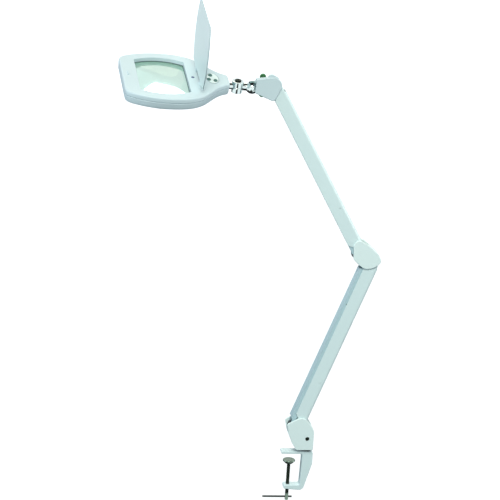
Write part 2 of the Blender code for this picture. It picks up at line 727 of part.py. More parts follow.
ELBOW_OUTLINE = [
    (-49.8 * MM, 5.4 * MM),
    (-36.2 * MM, -8.4 * MM),
    (-22.8 * MM, -17.5 * MM),
    (-10.2 * MM, -16.5 * MM),
    (1.8 * MM, -12.0 * MM),
    (12.2 * MM, -2.5 * MM),
    (12.5 * MM, 5.4 * MM),
    (6.5 * MM, 17.0 * MM),
    (-20.2 * MM, 39.4 * MM),
    (-37.7 * MM, 48.5 * MM),
    (-45.2 * MM, 46.5 * MM),
    (-51.2 * MM, 38.6 * MM),
]
ELBOW_BLOCK = [
    (-49.2 * MM, 7.0 * MM),
    (-44.2 * MM, 4.8 * MM),
    (-21.2 * MM, -8.5 * MM),
    (-2.2 * MM, -6.5 * MM),
    (5.8 * MM, -3.0 * MM),
    (6.3 * MM, 4.0 * MM),
    (0.8 * MM, 9.5 * MM),
    (-29.2 * MM, 29.0 * MM),
    (-37.2 * MM, 30.5 * MM),
    (-42.2 * MM, 28.0 * MM),
]
ELBOW_SCREW = (-21.2 * MM, 10.0 * MM)
ELBOW_RIM = [
    (10.4 * MM, 1.5 * MM),
    (11.6 * MM, 1.5 * MM),
    (11.5 * MM, 5.0 * MM),
    (5.7 * MM, 16.2 * MM),
    (-12.7 * MM, 31.6 * MM),
    (-14.3 * MM, 29.6 * MM),
    (3.4 * MM, 14.6 * MM),
    (9.7 * MM, 4.8 * MM),
]
BRACKET_OUTLINE = [
    (-48.8 * MM, -12.0 * MM),
    (-9.3 * MM, -28.5 * MM),
    (-4.8 * MM, -26.5 * MM),
    (9.7 * MM, 3.0 * MM),
    (8.2 * MM, 12.0 * MM),
    (4.2 * MM, 18.0 * MM),
    (-9.0 * MM, 24.0 * MM),
    (-38.8 * MM, 19.5 * MM),
    (-46.8 * MM, 18.5 * MM),
]
# The far cover is cut down at the top so that fingers reach the wing screw.
BRACKET_FAR_OUTLINE = BRACKET_OUTLINE[:-2] + [
    (-14.0 * MM, 22.8 * MM),
    (-23.0 * MM, 12.2 * MM),
    (-47.6 * MM, 10.0 * MM),
]
BRACKET_BLOCK = [
    (-36.8 * MM, -13.5 * MM),
    (-14.8 * MM, -18.5 * MM),
    (-4.8 * MM, -16.5 * MM),
    (6.2 * MM, -3.5 * MM),
    (5.7 * MM, 5.0 * MM),
    (-0.8 * MM, 9.0 * MM),
    (-13.8 * MM, 13.0 * MM),
    (-36.8 * MM, 11.5 * MM),
]
BRACKET_RIM = [
    (-47.2 * MM, 14.4 * MM),
    (-17.8 * MM, 15.4 * MM),
    (-17.8 * MM, 21.6 * MM),
    (-38.6 * MM, 18.5 * MM),
    (-46.2 * MM, 17.5 * MM),
]
BRACKET_SCREW = (-16.8 * MM, 8.0 * MM)
WING_AT = (-27.8 * MM, -3.0 * MM)


def make_elbow():
    body = block_with_pins("elbow", ELBOW_BLOCK, B1, (B1, B2, C1, C2))
    screw_hole(body, 1, ELBOW_SCREW)
    finish(body, "elbow_block", F_ELBOW, ZINC)
    cover("elbow_cover_near", ELBOW_OUTLINE, F_ELBOW, -1, ELBOW_SCREW, False, ELBOW_RIM)
    cover("elbow_cover_far", ELBOW_OUTLINE, F_ELBOW, 1, ELBOW_SCREW, True, ELBOW_RIM)
    cover_screw("elbow_cover_screw", F_ELBOW, 1, ELBOW_SCREW)
    pin("elbow_lower_arm_pin", B1, COVER_IN - GAP, B1, F_ELBOW)
    pin("elbow_lower_link_pin", B2, LINK_HALF_W + PIN_END, B1, F_ELBOW)
    pin("elbow_upper_arm_pin", C1, COVER_IN - GAP, B1, F_ELBOW)
    pin("elbow_upper_link_pin", C2, LINK_HALF_W + PIN_END, B1, F_ELBOW)


def make_bracket():
    body = block_with_pins("bracket", BRACKET_BLOCK, D1, (D1, D2))
    stem_z = BALL[1] - D1[1]
    cut(body, rod("c", STEM_D / 2 + GAP, -THROUGH, BALL[0] - D1[0] + STEM_L + GAP, "X", (0, stem_z)))
    cut(body, rod("c", WING_D / 2 + GAP, 0, THROUGH, "Y", WING_AT, ROD_SIDES))
    screw_hole(body, 1, BRACKET_SCREW)
    finish(body, "head_bracket_block", F_BRACKET, ZINC)
    cover("bracket_cover_near", BRACKET_OUTLINE, F_BRACKET, -1, BRACKET_SCREW, False, BRACKET_RIM)
    hole = (WING_AT, WING_D / 2 + 3 * GAP)
    cover("bracket_cover_far", BRACKET_FAR_OUTLINE, F_BRACKET, 1, BRACKET_SCREW, True, None, hole)
    cover_screw("bracket_cover_screw", F_BRACKET, 1, BRACKET_SCREW)
    pin("bracket_arm_pin", D1, COVER_IN - GAP, D1, F_BRACKET)
    pin("bracket_link_pin", D2, LINK_HALF_W + PIN_END, D1, F_BRACKET)
    make_wing()


def make_wing():
    tip = STEM_D / 2 + GAP
    out = COVER_IN + COVER_T
    ob = rod("wing", WING_D / 2, tip, out + WING_WEB[0], "Y")
    join(ob, rod("hub", WING_HUB_R, out + WING_HUB[0], out + WING_HUB[1], "Y", (0, 0), 24))
    x, z = WING_ROOT
    tip = arc((0, WING_LOBE_OUT), WING_LOBE_R, math.radians(200), math.radians(-20), 10)
    lobe = [(-x, z)] + tip + [(x, z)]
    for sign in (1, -1):
        points = [(x * sign, z * sign) for x, z in lobe]
        join(ob, prism("lobe", points, out + WING_WEB[0], out + WING_WEB[1]))
    finish(ob, "wing_screw", at(shifted(D1, WING_AT)), STEEL)


def make_neck():
    stem = rod("stem", STEM_D / 2, BALL_R + 2 * GAP, STEM_L, "X")
    nose = arc((0, 0), TONGUE_R, math.pi / 2, 3 * math.pi / 2, 8)
    nose += [(TONGUE_REACH, -TONGUE_R), (TONGUE_REACH, TONGUE_R)]
    tongue = prism("tongue", nose, -TONGUE_T / 2, TONGUE_T / 2)
    join(stem, tongue)
    cut(stem, rod("c", PIN_D / 2 + GAP, -THROUGH, THROUGH, "Y", (0, 0), PIN_SIDES))
    finish(stem, "tongue_stem", F_STEM, CHROME)
    bm = bmesh.new()
    bmesh.ops.create_uvsphere(bm, u_segments=20, v_segments=10, radius=BALL_R)
    bmesh.ops.rotate(bm, verts=bm.verts, matrix=Matrix.Rotation(math.pi / 2, 3, "X"))
    bmesh.ops.rotate(bm, verts=bm.verts, matrix=Matrix.Rotation(math.radians(3), 3, "Y"))
    ball = new_object("ball", bm)
    join(ball, rod("shank", SHANK_R, -BARREL_STEP, 0, "X"))
    join(ball, rod("lower", BARREL_R, -BARREL_HALF_H, 0, "Z", (-BARREL_STEP, 0), 24))
    half = TONGUE_T / 2 + GAP
    slot_low = (-TONGUE_R - 2 * GAP, -half, -2 * BALL_R)
    cut(ball, box("slot", slot_low, (2 * BALL_R, half, 2 * BALL_R)))
    cut(ball, rod("c", PIN_D / 2 + GAP, -THROUGH, THROUGH, "Y", (0, 0), PIN_SIDES))
    cut(ball, rod("c", BARREL_R + GAP, -GAP / 2, THROUGH, "Z", (-BARREL_STEP, 0), 24))
    cut(ball, rod("c", PIN_D / 2 + GAP, -THROUGH, THROUGH, "Z", (-BARREL_STEP, 0), PIN_SIDES))
    finish(ball, "ball_knuckle", F_KNUCKLE, CHROME)
    half = BALL_R - BALL_PIN_END
    pin_ob = rod("pin", PIN_D / 2, -half, half, "Y", (0, 0), PIN_SIDES)
    finish(pin_ob, "ball_pin", F_STEM, STEEL)
    yoke = rod("yoke", BARREL_R, GAP / 2, BARREL_HALF_H, "Z", (0, 0), 24)
    join(yoke, rod("stub", STUB_R, -STUB_L, 0, "X", (0, 0), 24))
    cut(yoke, rod("c", BARREL_R + GAP, -THROUGH, GAP / 2, "Z", (0, 0), 24))
    cut(yoke, rod("c", PIN_D / 2 + GAP, -THROUGH, THROUGH, "Z", (0, 0), PIN_SIDES))
    finish(yoke, "neck_yoke", F_HEAD, CHROME)
    end = BARREL_HALF_H + BOLT_HEAD_T / 2
    bolt = rod("bolt", PIN_D / 2, -BARREL_HALF_H + GAP, end, "Z", (0, 0), PIN_SIDES)
    join(bolt, rod("head", BOLT_HEAD_R, BARREL_HALF_H + GAP, BARREL_HALF_H + BOLT_HEAD_T, "Z", (0, 0), 24))
    finish(bolt, "barrel_bolt", F_HEAD, CHROME)


def bowed(half_x, half_y, bow, grow=0.0, n=8):
    """A rectangle round the window's centre whose long sides bow outward."""
    points = []
    for sign in (-1, 1):
        for i in range(n + 1):
            t = -1 + 2 * i / n
            points.append((WIN_X - sign * half_x * t, sign * (half_y + bow * (1 - t * t))))
    return inset(points, -grow) if grow else points


def head_outline(grow=0.0):
    far = list(HEAD_NECK)
    far += [(x, WIN_HALF_Y + past) for x, past in HEAD_SHOULDER]
    far += [(WIN_NEAR_X - 2 * WIN_HALF_X * share, WIN_HALF_Y + past) for share, past in HEAD_SIDE]
    far += [(WIN_FAR_X - length, WIN_HALF_Y + past) for length, past in HEAD_TIP]
    points = far + [(x, -y) for x, y in reversed(far)]
    return inset(points, -grow) if grow else points


def screw_posts():
    return [(x, y) for x in SHELL_POST_X for y in (SHELL_POST_Y, -SHELL_POST_Y)]


def stub_bore():
    return rod("c", STUB_R + GAP, -STUB_L - GAP, 0, "X", (0, 0), 24)


def stub_wall(low, high):
    return box("wall", (STUB_WALL[0], -STUB_WALL_HALF_W, low), (STUB_WALL[1], STUB_WALL_HALF_W, high))


def make_top_shell():
    seam = HEAD_SPLIT + GAP / 2
    crown = [(CROWN[0][0], seam), (0, seam + SEAM_LIP)]
    crown += [(d, HEAD_TOP - drop) for d, drop in CROWN]
    top = loft("top", head_outline(), crown)
    cavity = prism("cavity", head_outline(-WALL), -HEAD_TOP, HEAD_TOP - WALL, "Z")
    rim = bowed(WIN_HALF_X, WIN_HALF_Y, WIN_BOW, WALL)
    cut(cavity, prism("rim", rim, LENS_EDGE[1] + LENS_SEAT, HEAD_TOP, "Z"))
    for p in screw_posts():
        cut(cavity, rod("post", SHELL_POST_R, seam, HEAD_TOP, "Z", p, 10))
    cut(cavity, stub_wall(HEAD_SPLIT, HEAD_TOP))
    cut(top, cavity)
    cut(top, prism("window", bowed(WIN_HALF_X, WIN_HALF_Y, WIN_BOW), -THROUGH, THROUGH, "Z"))
    for p in screw_posts():
        cut(top, rod("c", SHELL_SCREW_D / 2 + GAP, -THROUGH, HEAD_TOP - WALL - 1 * MM, "Z", p, 8))
    hinge = (HINGE_X, HEAD_TOP + HINGE_H)
    r = HINGE_H - 2 * GAP
    for side in (-1, 1):
        low, high = sorted(side * y for y in HINGE_LUG_Y)
        lug = arc(hinge, r, 0, math.pi, 8)
        lug += [(HINGE_X - r, HEAD_TOP - WALL / 2), (HINGE_X + r, HEAD_TOP - WALL / 2)]
        join(top, prism("lug", lug, low, high))
    cut(top, rod("c", HINGE_PIN_D / 2 + GAP, -THROUGH, THROUGH, "Y", hinge, PIN_SIDES))
    catch = [(CATCH_X, HEAD_TOP - 1 * MM), (CATCH_X + CATCH_W, HEAD_TOP - 1 * MM)]
    catch += [(CATCH_X + CATCH_W - 1 * MM, HEAD_TOP + CATCH_H), (CATCH_X + 1 * MM, HEAD_TOP + CATCH_H)]
    join(top, prism("catch", catch, -CATCH_HALF_Y, CATCH_HALF_Y))
    cut(top, prism("pad", pad_outline(GAP), HEAD_TOP - SEAT_DEEP, THROUGH, "Z"))
    for b in BUTTON_AT:
        cut(top, prism("b", button_outline(b, 2 * GAP), -THROUGH, THROUGH, "Z"))
    cut(top, rod("c", BUMPER_R + GAP, HEAD_TOP - SEAT_DEEP, THROUGH, "Z", (BUMPER_X, 0)))
    cut(top, stub_bore())
    finish(top, "head_top_shell", F_HEAD, ABS)


def make_bottom_shell():
    seam = HEAD_SPLIT - GAP / 2
    hull = [(d, HEAD_BOTTOM + rise) for d, rise in HULL]
    hull += [(SEAM_LIP - CROWN[0][0], seam - SEAM_LIP), (SEAM_LIP, seam)]
    bottom = loft("bottom", head_outline(), hull)
    floor = HEAD_BOTTOM + WALL
    cavity = prism("cavity", head_outline(-WALL - 1 * MM), floor, HEAD_TOP, "Z")
    for p in screw_posts():
        cut(cavity, rod("post", SHELL_POST_R, floor - 1 * MM, seam, "Z", p, 10))
    for side in (-1, 1):
        where = (sum(DRIVER_X) / 2, side * DRIVER_POST_Y)
        cut(cavity, rod("post", DRIVER_POST_R, floor - 1 * MM, -BOARD_T - GAP, "Z", where, 10))
    cut(cavity, stub_wall(-THROUGH, seam))
    cut(bottom, cavity)
    opening = bowed(WIN_HALF_X, WIN_HALF_Y, WIN_BOW, WALL + GAP + LIGHT_W + GAP)
    cut(bottom, prism("opening", opening, -THROUGH, floor + 1 * MM, "Z"))
    for p in screw_posts():
        cut(bottom, rod("c", SHELL_SCREW_D / 2 + GAP, -THROUGH, THROUGH, "Z", p, 8))
        seat = HEAD_BOTTOM + SHELL_SCREW_HEAD_T + GAP
        cut(bottom, rod("c", SHELL_SCREW_HEAD_D / 2 + GAP, -THROUGH, seat, "Z", p, 10))
    cut(bottom, stub_bore())
    finish(bottom, "head_bottom_shell", F_HEAD, ABS)


def make_shell_screws():
    for i, p in enumerate(screw_posts()):
        one = rod("screw", SHELL_SCREW_D / 2, HEAD_BOTTOM + 1 * MM, HEAD_TOP - WALL - 1.5 * MM, "Z", p, 8)
        low = HEAD_BOTTOM + GAP
        join(one, rod("head", SHELL_SCREW_HEAD_D / 2, low, HEAD_BOTTOM + SHELL_SCREW_HEAD_T, "Z", p, 10))
        finish(one, "shell_screw_%d" % (i + 1), F_HEAD, STEEL)


def make_lens():
    """A bowed rectangular lens, domed on both faces."""
    edge = bowed(WIN_HALF_X, WIN_HALF_Y, WIN_BOW, LENS_LAP)
    low, high = LENS_EDGE
    bm = bmesh.new()
    rings = LENS_RINGS
    n = len(edge)
    stack = {}
    for key, z0, sign in (("top", high, 1), ("bottom", low, -1)):
        layers = []
        for k in range(rings):
            f = 1 - k / rings
            z = z0 + sign * LENS_RISE * (1 - f * f)
            layers.append([bm.verts.new((WIN_X + (x - WIN_X) * f, y * f, z)) for x, y in edge])
        tip = bm.verts.new((WIN_X, 0, z0 + sign * LENS_RISE))
        for a, b in zip(layers, layers[1:]):
            for i in range(n):
                bm.faces.new((a[i], a[(i + 1) % n], b[(i + 1) % n], b[i]))
        for i in range(n):
            bm.faces.new((layers[-1][i], layers[-1][(i + 1) % n], tip))
        stack[key] = layers[0]
    for i in range(n):
        j = (i + 1) % n
        bm.faces.new((stack["top"][i], stack["top"][j], stack["bottom"][j], stack["bottom"][i]))
    lens = new_object("lens", bm)
    finish(lens, "lens", F_HEAD, GLASS)


def ring(name, inner, outer, low, high):
    """A band round the window between two outsets of its outline."""
    band = prism(name, bowed(WIN_HALF_X, WIN_HALF_Y, WIN_BOW, outer), low, high, "Z")
    return cut(band, prism("c", bowed(WIN_HALF_X, WIN_HALF_Y, WIN_BOW, inner), -THROUGH, THROUGH, "Z"))


def make_light():
    hoop = ring("hoop", 0, WALL, HEAD_BOTTOM + PROUD, LENS_EDGE[0] - LENS_SEAT)
    finish(hoop, "lens_ring", F_HEAD, ABS)
    inner = WALL + GAP
    floor = HEAD_BOTTOM + WALL
    diffuser = ring("diffuser", inner, inner + LIGHT_W, HEAD_BOTTOM + PROUD, floor)
    finish(diffuser, "diffuser_ring", F_HEAD, DIFFUSER)
    low = LED_BOARD_Z - BOARD_T
    board = ring("board", inner, LIGHT_W, low, LED_BOARD_Z)
    half = LED_SIZE / 2
    for c in led_places():
        join(board, box("led", (c.x - half, c.y - half, low - LED_H), (c.x + half, c.y + half, low + PROUD)))
    finish(board, "led_board", F_HEAD, BOARD, False)


def led_places():
    path = bowed(WIN_HALF_X, WIN_HALF_Y, WIN_BOW, (WALL + GAP + LIGHT_W) / 2)
    places = []
    for i, point in enumerate(path):
        a, b = Vector(point), Vector(path[(i + 1) % len(path)])
        count = i % 2 if (b - a).length < WIN_HALF_Y else 5
        places += [a.lerp(b, (k + 0.5) / count) for k in range(count)]
    return places


def pad_outline(grow=0.0):
    return [(PAD_X + x * (PAD_RX + grow), y * (PAD_RY + grow)) for x, y in circle(1.0, 28)]


def button_outline(where, grow=0.0):
    rx = BUTTON_RX + grow
    ry = BUTTON_RY + grow
    return [(PAD_X + where[0] + x * rx, where[1] + y * ry) for x, y in circle(1.0, 16)]


def make_controls():
    pad = prism("pad", pad_outline(), HEAD_TOP - SEAT_DEEP + GAP, HEAD_TOP + PROUD, "Z")
    for b in BUTTON_AT:
        cut(pad, prism("c", button_outline(b, GAP), -THROUGH, THROUGH, "Z"))
    finish(pad, "button_pad", F_HEAD, GREY)
    board = box("board", (DRIVER_X[0], -DRIVER_HALF_Y, -BOARD_T), (DRIVER_X[1], DRIVER_HALF_Y, 0))
    for x, y in BUTTON_AT:
        low = (PAD_X + x - SWITCH_HALF, y - SWITCH_HALF, -BOARD_T / 2)
        high = (PAD_X + x + SWITCH_HALF, y + SWITCH_HALF, SWITCH_TOP)
        join(board, box("switch", low, high))
    finish(board, "driver_board", F_HEAD, BOARD, False)
    for name, (x, y) in zip(BUTTON_NAMES, BUTTON_AT):
        cap = prism(name, moved(button_outline((x, y)), (PAD_X + x, y)), -BUTTON_L, 0, "Z")
        top = F_HEAD @ Matrix.Translation((PAD_X + x, y, HEAD_TOP + BUTTON_PROUD))
        finish(cap, name, top, RUBBER)
        round_edges(cap, EDGE_ROUND, 1, 60)
    bumper = rod("bumper", BUMPER_R, HEAD_TOP - SEAT_DEEP + GAP, HEAD_TOP + PROUD, "Z", (BUMPER_X, 0))
    finish(bumper, "lid_bumper", F_HEAD, GASKET)


def make_lid():
    low = -HINGE_H + LID_CLEAR
    n = 10
    points = []
    for sign in (-1, 1):
        for i in range(n + 1):
            t = -1 + 2 * i / n
            x = LID_START - LID_L / 2 - sign * LID_L / 2 * t
            points.append((x, sign * (LID_HALF_Y + LID_BOW * (1 - t * t))))
    lid = prism("lid", points, low, low + LID_T, "Z")
    settle(round_edges(lid, EDGE_ROUND, 1, 60))
    arm_low = low + PROUD
    arm_high = low + LID_T - PROUD
    arm = [(2 * LID_START, arm_low), (0, arm_low), (0, arm_high), (2 * LID_START, arm_high)]
    for side in (-1, 1):
        a, b = sorted((side * (HINGE_LUG_Y[1] + GAP), side * HINGE_KNUCKLE_END))
        join(lid, rod("knuckle", HINGE_H - LID_CLEAR, a, b, "Y", (0, 0), 16))
        join(lid, prism("arm", arm, a + 2 * GAP, b - 2 * GAP))
    cut(lid, rod("c", HINGE_PIN_D / 2 + GAP, -THROUGH, THROUGH, "Y", (0, 0), PIN_SIDES))
    finish(lid, "lens_lid", F_LID, ABS)
    frame = F_HEAD @ Matrix.Translation((HINGE_X, 0, HEAD_TOP + HINGE_H))
    half = HINGE_KNUCKLE_END - 1 * MM
    hinge_pin = rod("pin", HINGE_PIN_D / 2, -half, half, "Y", (0, 0), PIN_SIDES)
    finish(hinge_pin, "lid_hinge_pin", frame, STEEL)


make_clamp()
make_clamp_screw()
make_base()
make_arm("lower", F_LOWER, F_LOWER_LINK, LOWER_LINK_X, LOWER_LUG_X, LOWER_PAIR, LOWER_LEAN)
make_elbow()
make_arm("upper", F_UPPER, F_UPPER_LINK, UPPER_LINK_X, UPPER_LUG_X, UPPER_PAIR, UPPER_LEAN)
make_bracket()
make_neck()
make_top_shell()
make_bottom_shell()
make_shell_screws()
make_lens()
make_light()
make_controls()
make_lid()
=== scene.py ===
# %% [markdown]
# # A magnifying lamp with a bench clamp
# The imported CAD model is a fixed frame. It says where each piece of the lamp sits and how it moves. This lesson
# gives that frame its looks. Each piece that shows is modelled again with softened edges, a thread and fine gaps,
# and hides the plain solid that it stands for. Pins, blocks and boards inside the lamp keep their CAD mesh.

# %% Load the frame
import math

import bpy
from mathutils import Matrix, Vector


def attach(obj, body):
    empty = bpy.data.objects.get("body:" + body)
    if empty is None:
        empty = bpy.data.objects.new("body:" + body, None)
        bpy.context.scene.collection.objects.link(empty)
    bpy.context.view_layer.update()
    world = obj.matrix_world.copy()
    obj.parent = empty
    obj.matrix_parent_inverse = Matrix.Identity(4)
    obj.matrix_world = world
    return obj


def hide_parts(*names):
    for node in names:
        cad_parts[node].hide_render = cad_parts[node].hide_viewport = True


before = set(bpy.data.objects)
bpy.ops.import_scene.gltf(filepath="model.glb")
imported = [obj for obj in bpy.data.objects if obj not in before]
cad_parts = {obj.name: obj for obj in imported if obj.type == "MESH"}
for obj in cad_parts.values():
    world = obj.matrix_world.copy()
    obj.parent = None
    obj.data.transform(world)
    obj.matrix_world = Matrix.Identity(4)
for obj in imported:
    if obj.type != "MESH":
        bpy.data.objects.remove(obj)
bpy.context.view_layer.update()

# %% [markdown]
# ## Where things are
# A piece is easier to draw flat, in millimetres, in a frame of its own, than in the pose of the photograph. So every
# piece is modelled about its own pivot and then carried into place by one matrix. The frames follow the chain of the
# real lamp: clamp, post, lower arm, elbow, upper arm, head bracket, ball, head, lid.

# %% Frames of the moving bodies
MM = 0.001
ARM = 415.0
LOWER_LEAN = 20.4
UPPER_LEAN = -29.9


def place(x, z, lean=0.0):
    """A frame in the plane of the arms: a point in mm and a lean about Y in degrees."""
    return Matrix.Translation((x * MM, 0, z * MM)) @ Matrix.Rotation(math.radians(lean), 4, "Y")


def up_the_arm(x, z, lean):
    a = math.radians(lean)
    return x + ARM * math.sin(a), z + ARM * math.cos(a)


lower_x, lower_z = 11.5, 71.0
elbow_x, elbow_z = up_the_arm(lower_x, lower_z, LOWER_LEAN)
upper_x, upper_z = elbow_x - 35.5, elbow_z + 23.3
head_x, head_z = up_the_arm(upper_x, upper_z, UPPER_LEAN)

CLAMP = place(0, 0)
SCREW = place(-4, -17)
T_BAR = place(-26, -108)
BASE = place(34, 0)
LOWER_ARM = place(lower_x, lower_z, LOWER_LEAN)
LOWER_LINK = place(lower_x - 17, lower_z - 3, LOWER_LEAN)
ELBOW = place(elbow_x, elbow_z)
UPPER_ARM = place(upper_x, upper_z, UPPER_LEAN)
UPPER_LINK = place(upper_x - 9, upper_z - 11.5, UPPER_LEAN)
BRACKET = place(head_x, head_z)
WING = place(head_x - 27.8, head_z - 3)
STEM = place(head_x - 53.7, head_z - 3) @ Matrix.Rotation(math.radians(15), 4, "X")
KNUCKLE = STEM @ Matrix.Rotation(math.radians(3), 4, "Y")
HEAD = KNUCKLE @ Matrix.Translation((-32 * MM, 0, 0)) @ Matrix.Rotation(math.radians(2.6), 4, "Z")
LID = HEAD @ Matrix.Translation((-86 * MM, 0, 19.2 * MM)) @ Matrix.Rotation(math.radians(89), 4, "Y")
print("elbow pivot at", round(elbow_x, 1), round(elbow_z, 1), "head pivot at", round(head_x, 1), round(head_z, 1))

# %% [markdown]
# ## Drawing outlines
# Most pieces start as a flat outline, as a sheet-metal worker or a toolmaker would draw them. Real corners are never
# perfectly sharp, so one helper rounds them, and another moves an outline inward or outward to give wall thickness.

# %% Outline helpers


def fillet(corners, radius, steps=5):
    """Rounds the corners of a closed outline. A corner's third number is a radius of its own."""
    points = []
    n = len(corners)
    for i in range(n):
        a, b, c = (Vector(corners[k][:2]) for k in (i - 1, i, (i + 1) % n))
        e1, e2 = (b - a).normalized(), (c - b).normalized()
        turn = math.acos(max(-1.0, min(1.0, e1.dot(e2))))
        if turn < 0.06:
            points.append(tuple(b))
            continue
        own = corners[i][2] if len(corners[i]) > 2 else radius
        reach = min(own * math.tan(turn / 2), 0.48 * (b - a).length, 0.48 * (c - b).length)
        handle = reach * (1 - 4 / 3 * math.tan(turn / 4) / math.tan(turn / 2))
        p = (b - e1 * reach, b - e1 * handle, b + e2 * handle, b + e2 * reach)
        for k in range(steps + 1):
            t = k / steps
            s = 1 - t
            points.append(tuple(p[0] * s**3 + p[1] * (3 * s * s * t) + p[2] * (3 * s * t * t) + p[3] * t**3))
    return points


def inset(outline, distance):
    """Moves a counter-clockwise outline inward, or outward if the distance is negative."""
    moved = []
    n = len(outline)
    for i in range(n):
        a, b, c = Vector(outline[i - 1]), Vector(outline[i]), Vector(outline[(i + 1) % n])
        e1, e2 = (b - a).normalized(), (c - b).normalized()
        normal = Vector((-e1.y - e2.y, e1.x + e2.x))
        moved.append(tuple(b + normal * (distance / max(0.35, 1 + e1.dot(e2)))))
    return moved


def ellipse(rx, ry, centre=(0.0, 0.0), n=48):
    turn = 2 * math.pi / n
    return [(centre[0] + rx * math.cos(turn * i), centre[1] + ry * math.sin(turn * i)) for i in range(n)]


def arc(centre, radius, start, end, n):
    """Points on an arc, with angles in degrees."""
    turn = math.radians(end - start) / n
    first = math.radians(start)
    x, y = centre
    return [(x + radius * math.cos(first + turn * i), y + radius * math.sin(first + turn * i)) for i in range(n + 1)]


print("a square with rounded corners has", len(fillet([(0, 0), (9, 0), (9, 9), (0, 9)], 2)), "points")

# %% [markdown]
# ## From outline to solid
# By hand, one adds a circle of edges, drags it onto the outline, and extrudes it from level to level. `skin` does just
# that, then caps the two ends, or joins the last loop to the first where the walls come round on themselves. Plates
# and turned pieces are both skins: a plate has two equal loops, a turned piece has one circle for each step in its
# profile.

# %% Modelling helpers


def spot(axis, a, b, height):
    return {"X": (height, a, b), "Y": (a, height, b), "Z": (a, b, height)}[axis]


def pick(ob, rule):
    """In object mode, selects the vertices that a rule names, and nothing else."""
    for item in list(ob.data.polygons) + list(ob.data.edges):
        item.select = False
    for vertex in ob.data.vertices:
        vertex.select = rule(vertex)


def skin(name, loops, comes_round=False):
    n = len(loops[0])
    bpy.ops.object.select_all(action="DESELECT")
    bpy.ops.mesh.primitive_circle_add(vertices=n, radius=1.0)
    ob = bpy.context.object
    ob.name = name
    bpy.ops.object.mode_set(mode="EDIT")
    bpy.ops.mesh.select_all(action="SELECT")
    path = loops + loops[:1] if comes_round else loops
    for _ in path[1:]:
        bpy.ops.mesh.extrude_edges_move()
    if not comes_round:
        bpy.ops.mesh.edge_face_add()
    bpy.ops.object.mode_set(mode="OBJECT")
    for vertex, point in zip(ob.data.vertices, [p for loop in path for p in loop]):
        vertex.co = point
    pick(ob, lambda vertex: vertex.index < n)
    bpy.ops.object.mode_set(mode="EDIT")
    if not comes_round:
        bpy.ops.mesh.edge_face_add()
    bpy.ops.mesh.select_all(action="SELECT")
    bpy.ops.mesh.remove_doubles(threshold=0.0005)
    bpy.ops.mesh.normals_make_consistent(inside=False)
    bpy.ops.object.mode_set(mode="OBJECT")
    return ob


def plate(name, outline, low, high, axis="Y"):
    return skin(name, [[spot(axis, a, b, h) for a, b in outline] for h in (low, high)])


def turned(name, profile, axis="Z", centre=(0.0, 0.0), sides=48):
    """A lathe piece. The profile is a list of (radius, height)."""
    return skin(name, [[spot(axis, a, b, h) for a, b in ellipse(r, r, centre, sides)] for r, h in profile])


def bake(ob):
    """Applies all the modifiers of an object."""
    bpy.ops.object.select_all(action="DESELECT")
    ob.select_set(True)
    bpy.context.view_layer.objects.active = ob
    for modifier in list(ob.modifiers):
        bpy.ops.object.modifier_apply(modifier=modifier.name)
    return ob


def soften(ob, width, segments=2, angle=40):
    """Rounds every edge that turns by more than an angle."""
    modifier = ob.modifiers.new("Bevel", "BEVEL")
    modifier.width = width
    modifier.segments = segments
    modifier.limit_method = "ANGLE"
    modifier.angle_limit = math.radians(angle)
    return bake(ob)


def carve(ob, *tools, way="DIFFERENCE"):
    """Cuts tools out of a piece, or adds them to it with way="UNION"."""
    for tool in tools:
        modifier = ob.modifiers.new("Carve", "BOOLEAN")
        modifier.operation = way
        modifier.solver = "EXACT"
        modifier.object = tool
        bake(ob)
        bpy.data.objects.remove(tool, do_unlink=True)
    return ob


def join(ob, *others):
    bpy.ops.object.select_all(action="DESELECT")
    for other in (ob, *others):
        other.select_set(True)
    bpy.context.view_layer.objects.active = ob
    bpy.ops.object.join()
    return ob


made = []


def settle(ob, name, where, body, material, slot, *stands_for, smooth=32):
    """Carries a piece from its own millimetres to its place, and ties it to the body that it moves with.

    The shading follows the large faces, so that a flat wall stays flat up to its rounded edge.
    """
    ob.data.transform(where @ Matrix.Scale(MM, 4))
    ob.name = name
    if not ob.data.materials:
        ob.data.materials.append(material)
    bpy.ops.object.select_all(action="DESELECT")
    ob.select_set(True)
    bpy.context.view_layer.objects.active = ob
    bpy.ops.object.shade_smooth_by_angle(angle=math.radians(smooth))
    flats_first = ob.modifiers.new("Weighted", "WEIGHTED_NORMAL")
    flats_first.keep_sharp = True
    bake(ob)
    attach(ob, body)
    if stands_for:
        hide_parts(*stands_for)
    made.append(ob)
    print(name, "rides on", body, "with", len(ob.data.polygons), "faces")
    return ob


# %% [markdown]
# ## Materials
# Colours are written as they would be picked from a screen, and one function turns them to the linear numbers that
# Blender works with. A second function adds any node and fills its sockets, with a value or with a link.

# %% Colour and node helpers


def linear(code):
    parts = [int(code[i:i + 2], 16) / 255 for i in (1, 3, 5)]
    return (*[c / 12.92 if c <= 0.04045 else ((c + 0.055) / 1.055) ** 2.4 for c in parts], 1.0)


def add(tree, kind, sockets, **settings):
    node = tree.nodes.new("ShaderNode" + kind)
    for name, value in settings.items():
        setattr(node, name, value)
    for name, value in sockets.items():
        if isinstance(value, bpy.types.NodeSocket):
            tree.links.new(value, node.inputs[name])
        else:
            node.inputs[name].default_value = value
    return node


def new_finish(name, **sockets):
    """A material with a Principled shader whose constant sockets are set, and the piece's own coordinates."""
    material = bpy.data.materials.new(name)
    material.use_nodes = True
    tree = material.node_tree
    shader = tree.nodes["Principled BSDF"]
    for socket, value in sockets.items():
        shader.inputs[socket.replace("_", " ")].default_value = value
    return material, tree, shader, add(tree, "TexCoord", {}).outputs["Object"]


def per_metre(size_mm):
    """A texture scale from the size in mm that one feature of the pattern should have."""
    return 1000.0 / size_mm


